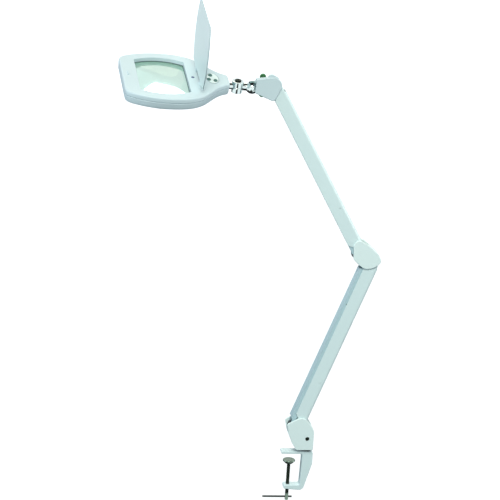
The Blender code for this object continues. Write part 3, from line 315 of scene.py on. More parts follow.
def grain(finish, patch_mm, tones, rough, fine_mm, depth_mm, strength):
    """Ties the shared parts of a surface together: slow drift of colour and gloss, and a fine relief."""
    material, tree, shader, at = finish
    drift = add(tree, "TexNoise", {"Vector": at, "Scale": per_metre(patch_mm), "Detail": 3.0})
    shade = add(tree, "Mix", {0: drift.outputs[0], 6: linear(tones[0]), 7: linear(tones[1])}, data_type="RGBA")
    tree.links.new(shade.outputs[2], shader.inputs["Base Color"])
    gloss = add(tree, "MapRange", {"Value": drift.outputs[0], "From Min": 0.3, "From Max": 0.7})
    gloss.inputs["To Min"].default_value, gloss.inputs["To Max"].default_value = rough
    tree.links.new(gloss.outputs[0], shader.inputs["Roughness"])
    relief = add(tree, "TexNoise", {"Vector": at, "Scale": per_metre(fine_mm), "Detail": 2.0})
    bump = add(tree, "Bump", {"Height": relief.outputs[0], "Distance": depth_mm * MM, "Strength": strength})
    tree.links.new(bump.outputs[0], shader.inputs["Normal"])
    return material


print("white in linear light:", linear("#ffffff"))

# %% [markdown]
# The arms and the clamp are steel with a baked powder coat. Up close such a coat is not flat: it has the soft waves
# called orange peel, about 2 mm across here so that they can show, and a gloss that drifts a little. The inner links
# sit recessed in the channels and get a bluer, darker copy of the coat, which is painted shade for that recess.

# %% Powder coat and moulded plastic
powder_coat = grain(
    new_finish("powder_coated_steel", IOR=1.5),
    70, ("#cbdfe0", "#cfe3e3"), (0.36, 0.46), 2.0, 0.05, 0.25)
# Painted shade: the links' darker, bluer tones stand for the shade inside the channels.
link_coat_painted_shade = grain(
    new_finish("powder_coat_with_painted_recess_shade", IOR=1.5),
    70, ("#a9c5cb", "#aecad0"), (0.36, 0.46), 2.0, 0.05, 0.25)

# The covers and the lid are moulded in white ABS, with a fine spark-eroded matt from the mould. The two halves of the
# head and the cheeks of its bracket are the same plastic with a little more grey in it.
moulded_abs = grain(
    new_finish("moulded_white_abs", IOR=1.53),
    90, ("#d3e6e5", "#d7e9e7"), (0.33, 0.42), 1.2, 0.03, 0.2)
grey_abs = grain(
    new_finish("moulded_pale_grey_abs", IOR=1.53),
    90, ("#bdd1d6", "#c1d4d9"), (0.50, 0.60), 1.2, 0.03, 0.2)
print(powder_coat.name, moulded_abs.name, grey_abs.name)

# %% [markdown]
# The neck is plated. Chrome is a mirror with a faint blue cast, and only smudges from fingers take it away from a
# perfect one. The screws are plain steel: one kind is zinc plated and greyish, the other is blackened in hot oil, so
# that the clamp screw and its bar look almost black. The wing screw is passivated, which leaves it olive green.

# %% Metals
chrome_plate = grain(
    new_finish("chrome_plate", Metallic=1.0),
    18, ("#d3e2e2", "#e2eeec"), (0.04, 0.09), 4.0, 0.01, 0.05)
zinc_plate = grain(
    new_finish("zinc_plated_steel", Metallic=1.0),
    6, ("#63776a", "#86998a"), (0.20, 0.32), 1.5, 0.02, 0.2)
olive_plate = grain(
    new_finish("olive_passivated_steel", Metallic=0.7),
    7, ("#3c7446", "#559160"), (0.25, 0.38), 1.5, 0.02, 0.2)
blackened_steel = grain(
    new_finish("oil_blackened_steel", Metallic=0.85),
    9, ("#151d17", "#27342b"), (0.28, 0.44), 1.4, 0.03, 0.25)
die_cast = grain(
    new_finish("die_cast_aluminium", Metallic=0.9),
    12, ("#9aa5a6", "#b0babb"), (0.42, 0.58), 1.6, 0.06, 0.35)
# Painted shade: this near-black casting darkens the gaps where the post and the elbow block show between the cheeks.
black_cast_painted_gap_shade = grain(
    new_finish("black_die_casting_painted_gap_shade", IOR=1.5),
    12, ("#1d2629", "#293336"), (0.45, 0.60), 1.6, 0.06, 0.35)
print("metals:", chrome_plate.name, zinc_plate.name, blackened_steel.name, die_cast.name, black_cast_painted_gap_shade.name)

# %% [markdown]
# Small pieces have finishes of their own: nylon for the bush, silicone rubber for the buttons, a grey polycarbonate
# frame round them, dark rubber for the lens seal, blue for the bumper, and fibreglass board under white solder mask.

# %% Plastics, rubber and board
nylon = grain(
    new_finish("natural_nylon", IOR=1.53, Subsurface_Weight=0.1),
    20, ("#c3cac8", "#d1d7d4"), (0.45, 0.55), 1.5, 0.02, 0.2)
button_rubber = grain(
    new_finish("silicone_rubber", IOR=1.41),
    8, ("#35605b", "#447069"), (0.50, 0.62), 1.2, 0.02, 0.3)
grey_frame_and_lid_rim_shade = grain(
    new_finish("grey_polycarbonate_and_painted_lid_rim_shade", IOR=1.58),
    15, ("#93abb0", "#a3b9bd"), (0.38, 0.48), 1.2, 0.02, 0.2)
seal_rubber = grain(
    new_finish("dark_seal_rubber", IOR=1.52),
    6, ("#1f3f48", "#2b4d57"), (0.55, 0.70), 1.2, 0.03, 0.3)
blue_rubber = grain(
    new_finish("blue_bumper_rubber", IOR=1.52),
    6, ("#22356a", "#2f457f"), (0.50, 0.65), 1.2, 0.03, 0.3)
circuit_board = grain(
    new_finish("white_masked_fibreglass", IOR=1.5),
    10, ("#d3d9d5", "#dfe3df"), (0.40, 0.52), 1.2, 0.02, 0.2)
print("small finishes:", nylon.name, button_rubber.name, grey_frame_and_lid_rim_shade.name, seal_rubber.name, circuit_board.name)

# %% [markdown]
# The lens is greenish crown glass, polished on both faces. Real glass gets its green from depth, which a faint tint of
# the shader stands for. Its underside is coated against reflections, so that only the upper face mirrors a lamp. The
# ring below it is acrylic, frosted so that the single LEDs melt into one band of light. The white hoop under the lens
# and the lens's ground edge are given a painted glow, which brightens them where they would look dark.

# %% Glass and diffuser
lens_glass = grain(
    new_finish("crown_glass", IOR=1.52, Transmission_Weight=1.0),
    40, ("#b6d0c4", "#bdd5ca"), (0.0, 0.02), 30.0, 0.002, 0.05)
coated_glass = grain(
    new_finish("coated_crown_glass", IOR=1.52, Transmission_Weight=1.0, Specular_Tint=(0, 0, 0, 1)),
    40, ("#b6d0c4", "#bdd5ca"), (0.0, 0.02), 30.0, 0.002, 0.05)
frosted_acrylic = grain(
    new_finish("frosted_acrylic", IOR=1.49, Transmission_Weight=0.25, Emission_Strength=0.25),
    25, ("#e6efe9", "#f0f6f0"), (0.45, 0.55), 1.2, 0.03, 0.3)
frosted_acrylic.node_tree.nodes["Principled BSDF"].inputs["Emission Color"].default_value = linear("#f4fbef")
# Painted glow: the emission makes the white hoop glow, though no lamp lights it.
abs_with_painted_glow = grain(
    new_finish("white_abs_painted_glow", IOR=1.53, Emission_Strength=0.35),
    90, ("#d3e6e5", "#d7e9e7"), (0.33, 0.42), 1.2, 0.03, 0.2)
abs_with_painted_glow.node_tree.nodes["Principled BSDF"].inputs["Emission Color"].default_value = linear("#dff3ea")
# Painted glow: emission on the lens's ground edge brightens the part of the lens that would look dark.
ground_edge_painted_glow = grain(
    new_finish("ground_glass_edge_painted_glow", IOR=1.52, Emission_Strength=0.9),
    10, ("#dfeee2", "#ebf5ea"), (0.6, 0.75), 1.2, 0.03, 0.3)
ground_edge_painted_glow.node_tree.nodes["Principled BSDF"].inputs["Emission Color"].default_value = linear("#f3fae6")
print("clear finishes:", lens_glass.name, frosted_acrylic.name, ground_edge_painted_glow.name)

# %% [markdown]
# ## The clamp
# A C-shaped casting grips the bench. Its inner corners have wide fillets, because a sharp one would crack there. The
# outline is rounded first, then raised to a plate, and its rims are softened before the bores are cut, so that the
# bores keep crisp edges.

# %% Clamp frame
clamp_outline = fillet(
    [(-24, 0), (24.5, 0), (22.5, -76), (-14, -76), (-14, -85), (24.5, -88), (31.5, -83), (48, -24), (48, 6), (-24, 6)],
    4.0)
clamp = soften(plate("clamp", clamp_outline, -11, 11), 1.4, 3)
carve(clamp, turned("bore", [(7.3, -36.3), (7.3, 12)], centre=(34, 0)))
carve(clamp, turned("bore", [(4.3, -120), (4.3, -40)], centre=(-4, 0)))
settle(clamp, "clamp_body", CLAMP, "clamp", powder_coat, "white_powder_coat", "clamp_frame")

# %% [markdown]
# The pressure pad is turned: a flat face, a rounded rim and a cone down to the hub that sits on the screw's tip.

# %% Pressure pad
pad = turned("pad", [
    (9.5, -0.35), (10.0, 0), (12.6, 0), (13.5, -0.3), (14, -1.1), (14, -2.7), (13.5, -3.4), (9.4, -7.4), (8.4, -8.6),
    (7.8, -9), (3.8, -9), (3.3, -8.6), (3.3, -4)])
settle(pad, "pressure_pad", SCREW, "pad", zinc_plate, "zinc_steel", "screw_pad")

# %% [markdown]
# The clamp screw has a metric thread of 8 by 1.25 mm. A thread is a small tooth profile that climbs as it turns,
# which is exactly what the Screw modifier does. The profile is a line of three edges, one pitch high, so the turns
# join into a closed rod once their doubles are merged.

# %% Threaded screw
PITCH = 1.25
bpy.ops.object.select_all(action="DESELECT")
bpy.ops.mesh.primitive_circle_add(vertices=4, radius=1.0)
thread = bpy.context.object
bpy.ops.object.mode_set(mode="EDIT")
bpy.ops.mesh.select_all(action="DESELECT")
bpy.ops.object.mode_set(mode="OBJECT")
tooth = [(3.35, 0, -83), (3.35, 0, -82.85), (4, 0, -82.45), (3.35, 0, -81.75)]
for vertex, point in zip(thread.data.vertices, tooth):
    vertex.co = point
for edge in thread.data.edges:
    edge.select = set(edge.vertices) == {0, 3}
bpy.ops.object.mode_set(mode="EDIT")
bpy.ops.mesh.select_mode(type="EDGE")
bpy.ops.mesh.delete(type="EDGE")
bpy.ops.mesh.select_mode(type="VERT")
bpy.ops.object.mode_set(mode="OBJECT")
climb = thread.modifiers.new("Screw", "SCREW")
climb.axis = "Z"
climb.screw_offset = PITCH
climb.iterations = 57
climb.steps = 18
climb.render_steps = 18
bake(thread)
bpy.ops.object.mode_set(mode="EDIT")
bpy.ops.mesh.select_all(action="SELECT")
bpy.ops.mesh.remove_doubles(threshold=0.002)
bpy.ops.mesh.fill_holes(sides=0)
bpy.ops.mesh.select_all(action="SELECT")
bpy.ops.mesh.normals_make_consistent(inside=False)
bpy.ops.object.mode_set(mode="OBJECT")
tip = turned("tip", [(2.5, -4.3), (3, -4.8), (3, -9.3), (3.3, -10), (3.3, -13)], sides=32)
tail = turned("tail", [(3.3, -81), (4, -82.6), (4, -97.6), (3.7, -98.6), (3, -99)], sides=32)
carve(tail, turned("bore", [(2.3, -9), (2.3, 9)], "X", (0, -91), 24))
thread.data.materials.append(blackened_steel)
tip.data.materials.append(blackened_steel)
tail.data.materials.append(zinc_plate)
screw = join(thread, tip, tail)
settle(screw, "clamp_screw_thread", SCREW, "screw", blackened_steel, "blackened_steel", "clamp_screw")

# %% [markdown]
# The sliding bar has rounded ends and a shallow groove near each of them, where a ring keeps it from falling out.

# %% T-bar
half_bar = [(1.2, 34), (1.7, 33.7), (2, 33), (2, 30.6), (1.7, 30.3), (1.7, 29.7), (2, 29.4)]
bar = turned("bar", [(r, -x) for r, x in half_bar] + [(r, x) for r, x in reversed(half_bar)], "X", sides=24)
settle(bar, "sliding_bar", T_BAR, "bar", blackened_steel, "blackened_steel", "t_bar")

# %% [markdown]
# ## Knuckle covers
# Each knuckle is hidden between two moulded cheeks. A cheek is a plate with a generous outer round, a boss inside for
# its screw and, on the elbow and the head bracket, a rim that closes the edge towards the other cheek. The far cheek of
# the bracket is cut down at the top, so that fingers reach the wing screw.

# %% Cheek covers
BASE_CHEEK = [
    (-25.8, 12.3, 4), (12, 12.3, 3), (12.5, 57), (7.5, 68), (-5, 83.5), (-10.5, 88.2), (-16.5, 89.6), (-26.6, 88),
    (-49, 75.5, 4), (-50.2, 72, 4), (-46, 52), (-37.3, 30.5)]
ELBOW_CHEEK = [
    (-49.8, 5.4, 9), (-36.2, -8.4), (-22.8, -17.5), (-10.2, -16.5), (1.8, -12), (12.2, -2.5), (12.5, 5.4), (6.5, 17),
    (-20.2, 39.4), (-37.7, 48.5), (-45.2, 46.5), (-51.2, 38.6)]
BRACKET_CHEEK = [
    (-48.8, -12, 3), (-9.3, -28.5, 7), (-4.8, -26.5, 7), (9.7, 3), (8.2, 12), (4.2, 18), (-9, 24), (-38.8, 19.5),
    (-46.8, 18.5, 4)]
BRACKET_FAR_CHEEK = BRACKET_CHEEK[:-2] + [(-14, 22.8, 6), (-23, 12.2, 6), (-47.6, 10, 4)]
ELBOW_RIM = [(10.4, 1.5), (11.6, 1.5), (11.5, 5), (5.7, 16.2), (-12.7, 31.6), (-14.3, 29.6), (3.4, 14.6), (9.7, 4.8)]
BRACKET_RIM = [(-47.2, 14.4), (-17.8, 15.4), (-17.8, 21.6), (-38.6, 18.5), (-46.2, 17.5)]


def cheek(outline, side, screw_at, headed, rim=None, hole=None):
    low, high = sorted((side * 15.5, side * 19.1))
    shell = soften(plate("cheek", fillet(outline, 40.0), low, high), 1.6, 4)
    low, high = sorted((side * 11.1, side * 17.3))
    carve(shell, turned("boss", [(4.5, low), (4.5, high)], "Y", screw_at, 32), way="UNION")
    if rim:
        low, high = sorted((side * 0.15, side * 17.3))
        carve(shell, plate("rim", fillet(rim, 0.8, 2), low, high), way="UNION")
    if headed:
        low, high = sorted((side * 17.1, side * 30))
        carve(shell, turned("seat", [(4.8, low), (4.8, high)], "Y", screw_at, 40))
        carve(shell, turned("hole", [(2.3, -30), (2.3, 30)], "Y", screw_at, 24))
    if hole:
        carve(shell, turned("hole", [(3.9, -30), (3.9, 30)], "Y", hole, 32))
    return shell


base_near = cheek(BASE_CHEEK, -1, (-2.5, 40), True)
settle(base_near, "base_cheek_near", BASE, "base", moulded_abs, "white_abs", "base_cover_near")
base_far = cheek(BASE_CHEEK, 1, (-12, 30), True)
settle(base_far, "base_cheek_far", BASE, "base", moulded_abs, "white_abs", "base_cover_far")
elbow_near = cheek(ELBOW_CHEEK, -1, (-21.2, 10), False, ELBOW_RIM)
settle(elbow_near, "elbow_cheek_near", ELBOW, "elbow", moulded_abs, "white_abs", "elbow_cover_near")
elbow_far = cheek(ELBOW_CHEEK, 1, (-21.2, 10), True, ELBOW_RIM)
settle(elbow_far, "elbow_cheek_far", ELBOW, "elbow", moulded_abs, "white_abs", "elbow_cover_far")
bracket_near = cheek(BRACKET_CHEEK, -1, (-16.8, 8), False, BRACKET_RIM)
settle(bracket_near, "bracket_cheek_near", BRACKET, "bracket", grey_abs, "white_abs", "bracket_cover_near")
bracket_far = cheek(BRACKET_FAR_CHEEK, 1, (-16.8, 8), True, None, (-27.8, -3))
settle(bracket_far, "bracket_cheek_far", BRACKET, "bracket", grey_abs, "white_abs", "bracket_cover_far")

# %% [markdown]
# Each cheek is held by a pan-head screw with a cross slot. One screw is turned and slotted, and the others are copies
# with a mesh of their own, turned over for the near side.

# %% Cover screws
pan_screw = turned("pan", [
    (1.7, 2), (2, 2.4), (2, 17.4), (4.5, 17.4), (4.5, 18.2), (4.2, 18.7), (3.4, 19), (2.4, 19.1)], "Y", sides=40)
for wide, tall in ((6.0, 1.2), (1.2, 6.0)):
    slot_outline = [(-wide / 2, -tall / 2), (wide / 2, -tall / 2), (wide / 2, tall / 2), (-wide / 2, tall / 2)]
    carve(pan_screw, plate("slot", slot_outline, 18.2, 20))
for node, where, body, x, z, side in (
        ("base_cover_screw_near", BASE, "base", -2.5, 40, -1), ("base_cover_screw_far", BASE, "base", -12, 30, 1),
        ("elbow_cover_screw", ELBOW, "elbow", -21.2, 10, 1), ("bracket_cover_screw", BRACKET, "bracket", -16.8, 8, 1)):
    one = pan_screw.copy()
    one.data = pan_screw.data.copy()
    bpy.context.scene.collection.objects.link(one)
    over = Matrix.Rotation(0 if side > 0 else math.pi, 4, "Z")
    shift = Matrix.Translation((x * MM, 0, z * MM)) @ over
    settle(one, node + "_pan", where @ shift, body, blackened_steel, "blackened_steel", node)
bpy.data.objects.remove(pan_screw, do_unlink=True)

# %% [markdown]
# ## The arms
# An arm is a folded steel channel, open on one side, with a narrower channel nested inside as the second bar of the
# parallelogram. The fold gives the closed back its round corners. The section is extruded along the arm, and a second
# plate with the side view of the arm is intersected with it, which trims the lugs and notches at both ends at once.

# %% Channels and links


def channel(name):
    section = [(-17.5, -15)] + arc((6.5, -8), 7, -90, 0, 8) + arc((6.5, 8), 7, 0, 90, 8) + [(-17.5, 15), (-17.5, 13.8)]
    section += arc((6.5, 8), 5.8, 90, 0, 8) + arc((6.5, -8), 5.8, 0, -90, 8) + [(-17.5, -13.8)]
    body = plate(name, section, -20, ARM + 20, "Z")
    low = [(-18.7, 23), (-17.5, 23), (-10, 16)] + arc((0, 0), 10, -180, 0, 20) + [(14.7, 12)]
    side_view = low + [(x, ARM - z) for x, z in reversed(low)]
    carve(body, plate("side", side_view, -40, 40), way="INTERSECT")
    for z in (0, ARM):
        carve(body, plate("gap", [(-40, z - 15), (40, z - 15), (40, z + 15), (-40, z + 15)], -13.8, 13.8))
        carve(body, turned("hole", [(2.3, -40), (2.3, 40)], "Y", (0, z), 24))
    carve(body, turned("hole", [(1.8, -40), (1.8, 40)], "Y", (3, 110), 20))
    return soften(body, 0.3, 2, 50)


def link(name, low_x, high_x, lug, spring_at):
    section = [(low_x, -12.5), (high_x, -12.5), (high_x, -11.3), (low_x + 1.2, -11.3), (low_x + 1.2, 11.3)]
    section += [(high_x, 11.3), (high_x, 12.5), (low_x, 12.5)]
    body = plate(name, section, -8, ARM + 8, "Z")
    tip = -high_x - 1.2
    low = [(low_x - 1.2, 20), (lug, 16), (lug, 0), (lug * 0.6, tip), (high_x * 0.5, tip), (high_x + 0.01, 0)]
    side_view = low + [(x, ARM - z) for x, z in reversed(low)]
    carve(body, plate("side", side_view, -40, 40), way="INTERSECT")
    for z in (0, ARM):
        carve(body, plate("gap", [(-40, z - 20), (40, z - 20), (40, z + 20), (-40, z + 20)], -11.3, 11.3))
        carve(body, turned("hole", [(2.3, -40), (2.3, 40)], "Y", (0, z), 24))
    carve(body, turned("hole", [(1.8, -40), (1.8, 40)], "Y", spring_at, 20))
    return soften(body, 0.3, 2, 50)


def link_spring(pair, lean, low_x, high_x):
    """Where the spring's cross pin goes through the link, seen from the link's own pivot."""
    a = math.radians(lean)
    return (low_x + high_x) / 2 + 0.8, 300 - (pair[0] * math.sin(a) + pair[1] * math.cos(a))


coat = (powder_coat, "white_powder_coat")
settle(channel("lower"), "lower_channel", LOWER_ARM, "lower_arm", *coat, "lower_arm_channel")
settle(channel("upper"), "upper_channel", UPPER_ARM, "upper_arm", *coat, "upper_arm_channel")
lower_link = link("lower", -9.1, 3.2, -5.0, link_spring((-17, -3), LOWER_LEAN, -9.1, 3.2))
settle(lower_link, "lower_bar_link", LOWER_LINK, "lower_bar", link_coat_painted_shade, "white_powder_coat", "lower_link")
upper_link = link("upper", -4.0, 4.2, -4.0, link_spring((-9, -11.5), UPPER_LEAN, -4.0, 4.2))
settle(upper_link, "upper_bar_link", UPPER_LINK, "upper_bar", link_coat_painted_shade, "white_powder_coat", "upper_link")

# %% [markdown]
# A tension spring in each arm carries the weight. One of its hooks hangs on a cross pin of the channel and the other on
# a cross pin of the link. When the arm tilts, the link slides along the channel and one hook moves away from the other.
# So the spring is drawn as two halves that meet in the middle, and each half goes with its own pin.

# %% Springs
COIL_R, WIRE_R, HOOK_R = 4.4, 0.7, 2.5
COIL_START, COIL_TURNS, PER_TURN = 14.0, 5, 16
WAIST = 8.0


def wire(name, path):
    """A round wire along a path. Its cross section is carried from point to point without a twist."""
    loops = []
    across = Vector((0, 1, 0))
    for i, point in enumerate(path):
        along = (path[min(i + 1, len(path) - 1)] - path[max(i - 1, 0)]).normalized()
        across = (across - along * across.dot(along)).normalized()
        other = along.cross(across)
        loops.append([tuple(point + across * a + other * b) for a, b in ellipse(WIRE_R, WIRE_R, n=10)])
    return skin(name, loops)


def half_spring(name, pin, middle):
    """A hook round a pin, a coil, and a straight end that stops just short of the middle."""
    axis = (middle - pin).normalized()
    reach = (middle - pin).length
    outward = Vector((abs(axis.z), 0, -axis.x if axis.z > 0 else axis.x))
    side = Vector((0, 1, 0))

    def around(radius, turn, along):
        return pin + axis * along + outward * (radius * math.cos(turn)) + side * (radius * math.sin(turn))

    path = []
    for k in range(11):
        t = math.radians(-60 - 24 * k)
        path.append(pin + outward * (HOOK_R * math.cos(t)) + axis * (HOOK_R * math.sin(t)))
    coil_end = reach - WAIST
    for k in range(COIL_TURNS * PER_TURN + 1):
        share = k / (COIL_TURNS * PER_TURN)
        path.append(around(COIL_R, 2 * math.pi * COIL_TURNS * share, COIL_START + (coil_end - COIL_START) * share))
    for k in range(1, 6):
        path.append(around(COIL_R * (1 - k / 5), 0.4 * k, coil_end + 0.9 * k))
    path.append(around(0, 0, reach - 0.1))
    return wire(name, path)


for label, arm, bar, spring_at in (
        ("lower", LOWER_ARM, LOWER_LINK, link_spring((-17, -3), LOWER_LEAN, -9.1, 3.2)),
        ("upper", UPPER_ARM, UPPER_LINK, link_spring((-9, -11.5), UPPER_LEAN, -4.0, 4.2))):
    channel_pin = Vector((3, 0, 110))
    link_pin = arm.inverted() @ bar @ Vector((spring_at[0] * MM, 0, spring_at[1] * MM)) / MM
    middle = (channel_pin + link_pin) / 2
    steel = (zinc_plate, "zinc_steel")
    channel_half = half_spring("coil", channel_pin, middle)
    settle(channel_half, label + "_spring_channel_half", arm, label + "_arm", *steel, label + "_spring")
    link_half = half_spring("coil", link_pin, middle)
    settle(link_half, label + "_spring_link_half", arm, label + "_bar", *steel)

# %% [markdown]
# ## The chrome neck
# A wing screw clamps the stem in the bracket. Its two lobes are stamped flat and pressed on a turned hub. The stem
# ends in a flat tongue that sits in the split ball, and the ball's shank carries the lower half of a round barrel.
# The upper half belongs to the head, so the seam round the barrel is where the head swings.

# %% Wing screw
wing = turned("wing", [
    (2.4, 6.3), (3, 6.9), (3, 20.1), (5, 20.1), (5.5, 20.6), (5.5, 28.2), (4.8, 28.9), (3.6, 29.1)], "Y", sides=40)
lobe = [(-3, 2)] + arc((0, 19), 7, 200, -20, 16) + [(3, 2)]
for sign in (1, -1):
    blade = plate("lobe", [(x * sign, z * sign) for x, z in lobe], 23.1, 27.1)
    carve(wing, soften(blade, 1.2, 3, 50), way="UNION")
settle(wing, "wing_nut_screw", WING, "wing", olive_plate, "zinc_steel", "wing_screw")

# %% Tongue and stem
stem = turned("stem", [
    (5.2, 14.6), (6, 15.4), (6, 21), (5.6, 21.4), (5.6, 22.2), (6, 22.6), (6, 39.2), (5.4, 40)], "X", sides=48)
tongue = plate("tongue", arc((0, 0), 7.5, 90, 270, 24) + [(16.2, -7.5), (16.2, 7.5)], -3.5, 3.5)
carve(stem, soften(tongue, 0.6, 3, 50), way="UNION")
carve(stem, turned("hole", [(2.3, -30), (2.3, 30)], "Y", sides=24))
settle(stem, "stem_with_tongue", STEM, "stem", chrome_plate, "chrome", "tongue_stem")

# %% Ball knuckle with the lower half of the barrel
ball_profile = [(14 * math.sin(math.radians(a)), 14 * math.cos(math.radians(a))) for a in range(4, 141, 4)]
ball_profile += [(8.3, -11.6), (8.05, -12.4), (8, -13.4), (8, -32)]
ball = turned("ball", ball_profile, "X", sides=64)
lower_half = turned("half", [(11, -13), (12, -12.7), (12.5, -11.9), (12.5, -0.6), (12.2, -0.15)], "Z", (-32, 0), 64)
carve(ball, lower_half, way="UNION")
carve(ball, plate("slot", [(-8.1, -40), (40, -40), (40, 40), (-8.1, 40)], -3.8, 3.8))
carve(ball, turned("hole", [(2.3, -30), (2.3, 30)], "Y", sides=24))
carve(ball, turned("room", [(12.8, -0.15), (12.8, 40)], "Z", (-32, 0), 64))
carve(ball, turned("hole", [(2.3, -40), (2.3, 40)], "Z", (-32, 0), 24))
settle(ball, "split_ball", KNUCKLE, "knuckle", chrome_plate, "chrome", "ball_knuckle")

# %% Upper half of the barrel, with the stub that goes into the head
yoke = turned("yoke", [(12.2, 0.15), (12.5, 0.6), (12.5, 11.9), (12, 12.7), (11, 13)], sides=64)
carve(yoke, turned("stub", [(6.6, -44), (7, -43.6), (7, 0)], "X", sides=48), way="UNION")
carve(yoke, turned("room", [(12.8, -40), (12.8, 0.15)], sides=64))
carve(yoke, turned("hole", [(2.3, -40), (2.3, 40)], sides=24))
settle(yoke, "barrel_upper_half", HEAD, "head", chrome_plate, "chrome", "neck_yoke")

# %% Barrel bolt
bolt = turned("bolt", [(1.6, -12.7), (2, -12.3), (2, 13.3), (6.4, 13.3), (7, 13.7), (7, 14.3), (6.4, 14.8), (5.2, 15)], sides=48)
carve(bolt, turned("socket", [(2.6, 13.9), (2.6, 20)], sides=6))
settle(bolt, "barrel_socket_bolt", HEAD, "head", blackened_steel, "chrome", "barrel_bolt")

# %% [markdown]
# ## The head
# The head is two moulded halves round a bowed lens. Seen from above, its outline runs from a narrow neck to a wide,
# blunt tip, and the window's long sides bow outwards. To skin the space between such different outlines, both are
# sampled along the same rays from the middle of the window, so every point of one has a partner on the other.

# %% Outlines of the head and the window
WINDOW_MIDDLE = (-165.0, 0.0)
half_head = [
    (-20, 22), (-30, 26), (-42, 35), (-54, 48), (-66, 64), (-80, 82), (-98, 96), (-120, 104.5), (-150, 109),
    (-180, 108), (-208, 102.5), (-232, 93), (-244, 86), (-250, 79), (-252, 70)]
head_outline = fillet(half_head + [(x, -y) for x, y in reversed(half_head)], 500, 4)
window = []
for sign in (-1, 1):
    for k in range(25):
        t = -1 + k / 12
        window.append((-165 - sign * 54 * t, sign * (70 + 15 * (1 - t * t))))


def bearing(point):
    return math.atan2(point[1] - WINDOW_MIDDLE[1], point[0] - WINDOW_MIDDLE[0])


def on_rays(outline, rays):
    """The points where rays from the middle of the window meet an outline."""
    middle = Vector(WINDOW_MIDDLE)
    edges = [(Vector(outline[i - 1]) - middle, Vector(outline[i]) - middle) for i in range(len(outline))]
    points = []
    for ray in rays:
        d = Vector((math.cos(ray), math.sin(ray)))
        best = 0.0
        for a, b in edges:
            side_a, side_b = d.x * a.y - d.y * a.x, d.x * b.y - d.y * b.x
            if side_a * side_b <= 0 and side_a != side_b:
                hit = a.lerp(b, side_a / (side_a - side_b))
                best = max(best, hit.dot(d))
        points.append(tuple(middle + d * best))
    return points


rays = sorted(bearing(p) for p in head_outline + window)
rays = [r for i, r in enumerate(rays) if r - rays[i - 1] > 0.002 or i == 0]


def head_loop(grow, z):
    """The head's outline at a height, moved inward."""
    return [(x, y, z) for x, y in on_rays(inset(head_outline, grow) if grow else head_outline, rays)]


def window_loop(grow, z):
    """The window's outline at a height, moved outward."""
    return [(x, y, z) for x, y in on_rays(inset(window, -grow) if grow else window, rays)]


print("head outline", len(head_outline), "window", len(window), "rays", len(rays))

# %% [markdown]
# The upper half is one continuous skin: up the outer wall, over a soft shoulder, across the flat top, down the deep
# recess round the lens, and back along the inside. After that come the details that a mould would have: lugs for the
# hinge, a small catch at the tip, seats for the control pad and the bumper.

# %% Upper half of the head
top = skin("top", [
    head_loop(1.6, 4.15), head_loop(0.2, 5.4), head_loop(0.4, 11), head_loop(0.7, 12.7), head_loop(1.4, 13.7),
    head_loop(2.5, 14.5), head_loop(4, 15), window_loop(0.8, 15), window_loop(0.25, 14.75), window_loop(0, 14.2),
    window_loop(0, 5.9), window_loop(2.5, 5.9), window_loop(2.5, 12.5), head_loop(2.5, 12.5), head_loop(2.5, 4.15)],
    comes_round=True)
BUTTONS = (("power", -59.5, 14), ("brighter", -65, -6), ("dimmer", -51, -10))
for side in (-1, 1):
    lug = [(-82.4, 13.7)] + arc((-86, 19.2), 3.6, 0, 180, 12) + [(-89.6, 13.7)]
    low, high = sorted((side * 24, side * 31.5))
    carve(top, soften(plate("lug", lug, low, high), 0.4, 2, 50), way="UNION")
catch = [(-240.5, 14), (-236, 14), (-236.6, 17), (-237.4, 18), (-239.2, 18), (-239.9, 17)]
carve(top, soften(plate("catch", catch, -7, 7), 0.5, 2, 50), way="UNION")
carve(top, turned("hole", [(1.8, -60), (1.8, 60)], "Y", (-86, 19.2), 24))
carve(top, plate("seat", ellipse(14.3, 25.3, (-56, 0), 64), 13.8, 30, "Z"))
carve(top, plate("seat", ellipse(3.8, 3.8, (-99, 0), 32), 13.8, 30, "Z"))
for _, x, y in BUTTONS:
    carve(top, plate("hole", ellipse(4.8, 6.2, (x, y), 40), 0, 30, "Z"))
carve(top, turned("bore", [(7.3, -44.3), (7.3, 0)], "X", sides=48))
settle(top, "head_upper_half", HEAD, "head", grey_abs, "white_abs", "head_top_shell")

# %% Lower half of the head
bottom = skin("bottom", [
    head_loop(2.1, 3.85), head_loop(0.7, 2.6), head_loop(1.2, -6.4), head_loop(2.6, -10.4), head_loop(4.2, -11.6),
    head_loop(6.5, -12.4), window_loop(18.1, -12.4), window_loop(18.1, -9.9), head_loop(3.5, -9.9),
    head_loop(3.5, 3.85)], comes_round=True)
for x in (-243.5, -84):
    for y in (-62, 62):
        carve(bottom, turned("seat", [(3.3, -20), (3.3, -10.1)], centre=(x, y), sides=24))
carve(bottom, turned("bore", [(7.3, -44.3), (7.3, 0)], "X", sides=48))
settle(bottom, "head_lower_half", HEAD, "head", grey_abs, "white_abs", "head_bottom_shell")

# %% [markdown]
# The lens is domed, strongly above and hardly below, so that one looks straight through it from the front. Its loops
# shrink towards the middle while they rise by a parabola, which is very close to the sphere that a lens is ground to. A thin dark seal lies on its edge, against the wall of the recess.

# %% Lens, seal, lens ring and diffuser
edge = [(x, y) for x, y, _ in window_loop(3, 0)]


def lens_loop(share, z, rise):
    """A contour of the dome: an ellipse near the middle that turns into the lens's own outline at the edge."""
    points = []
    for x, y in edge:
        far = math.hypot(x + 165, y)
        round_far = 1 / math.hypot((x + 165) / far / 57, y / far / 88)
        reach = share * (round_far + (far - round_far) * share**3) / far
        points.append((-165 + (x + 165) * reach, y * reach, z + rise * (1 - share * share)))
    return points


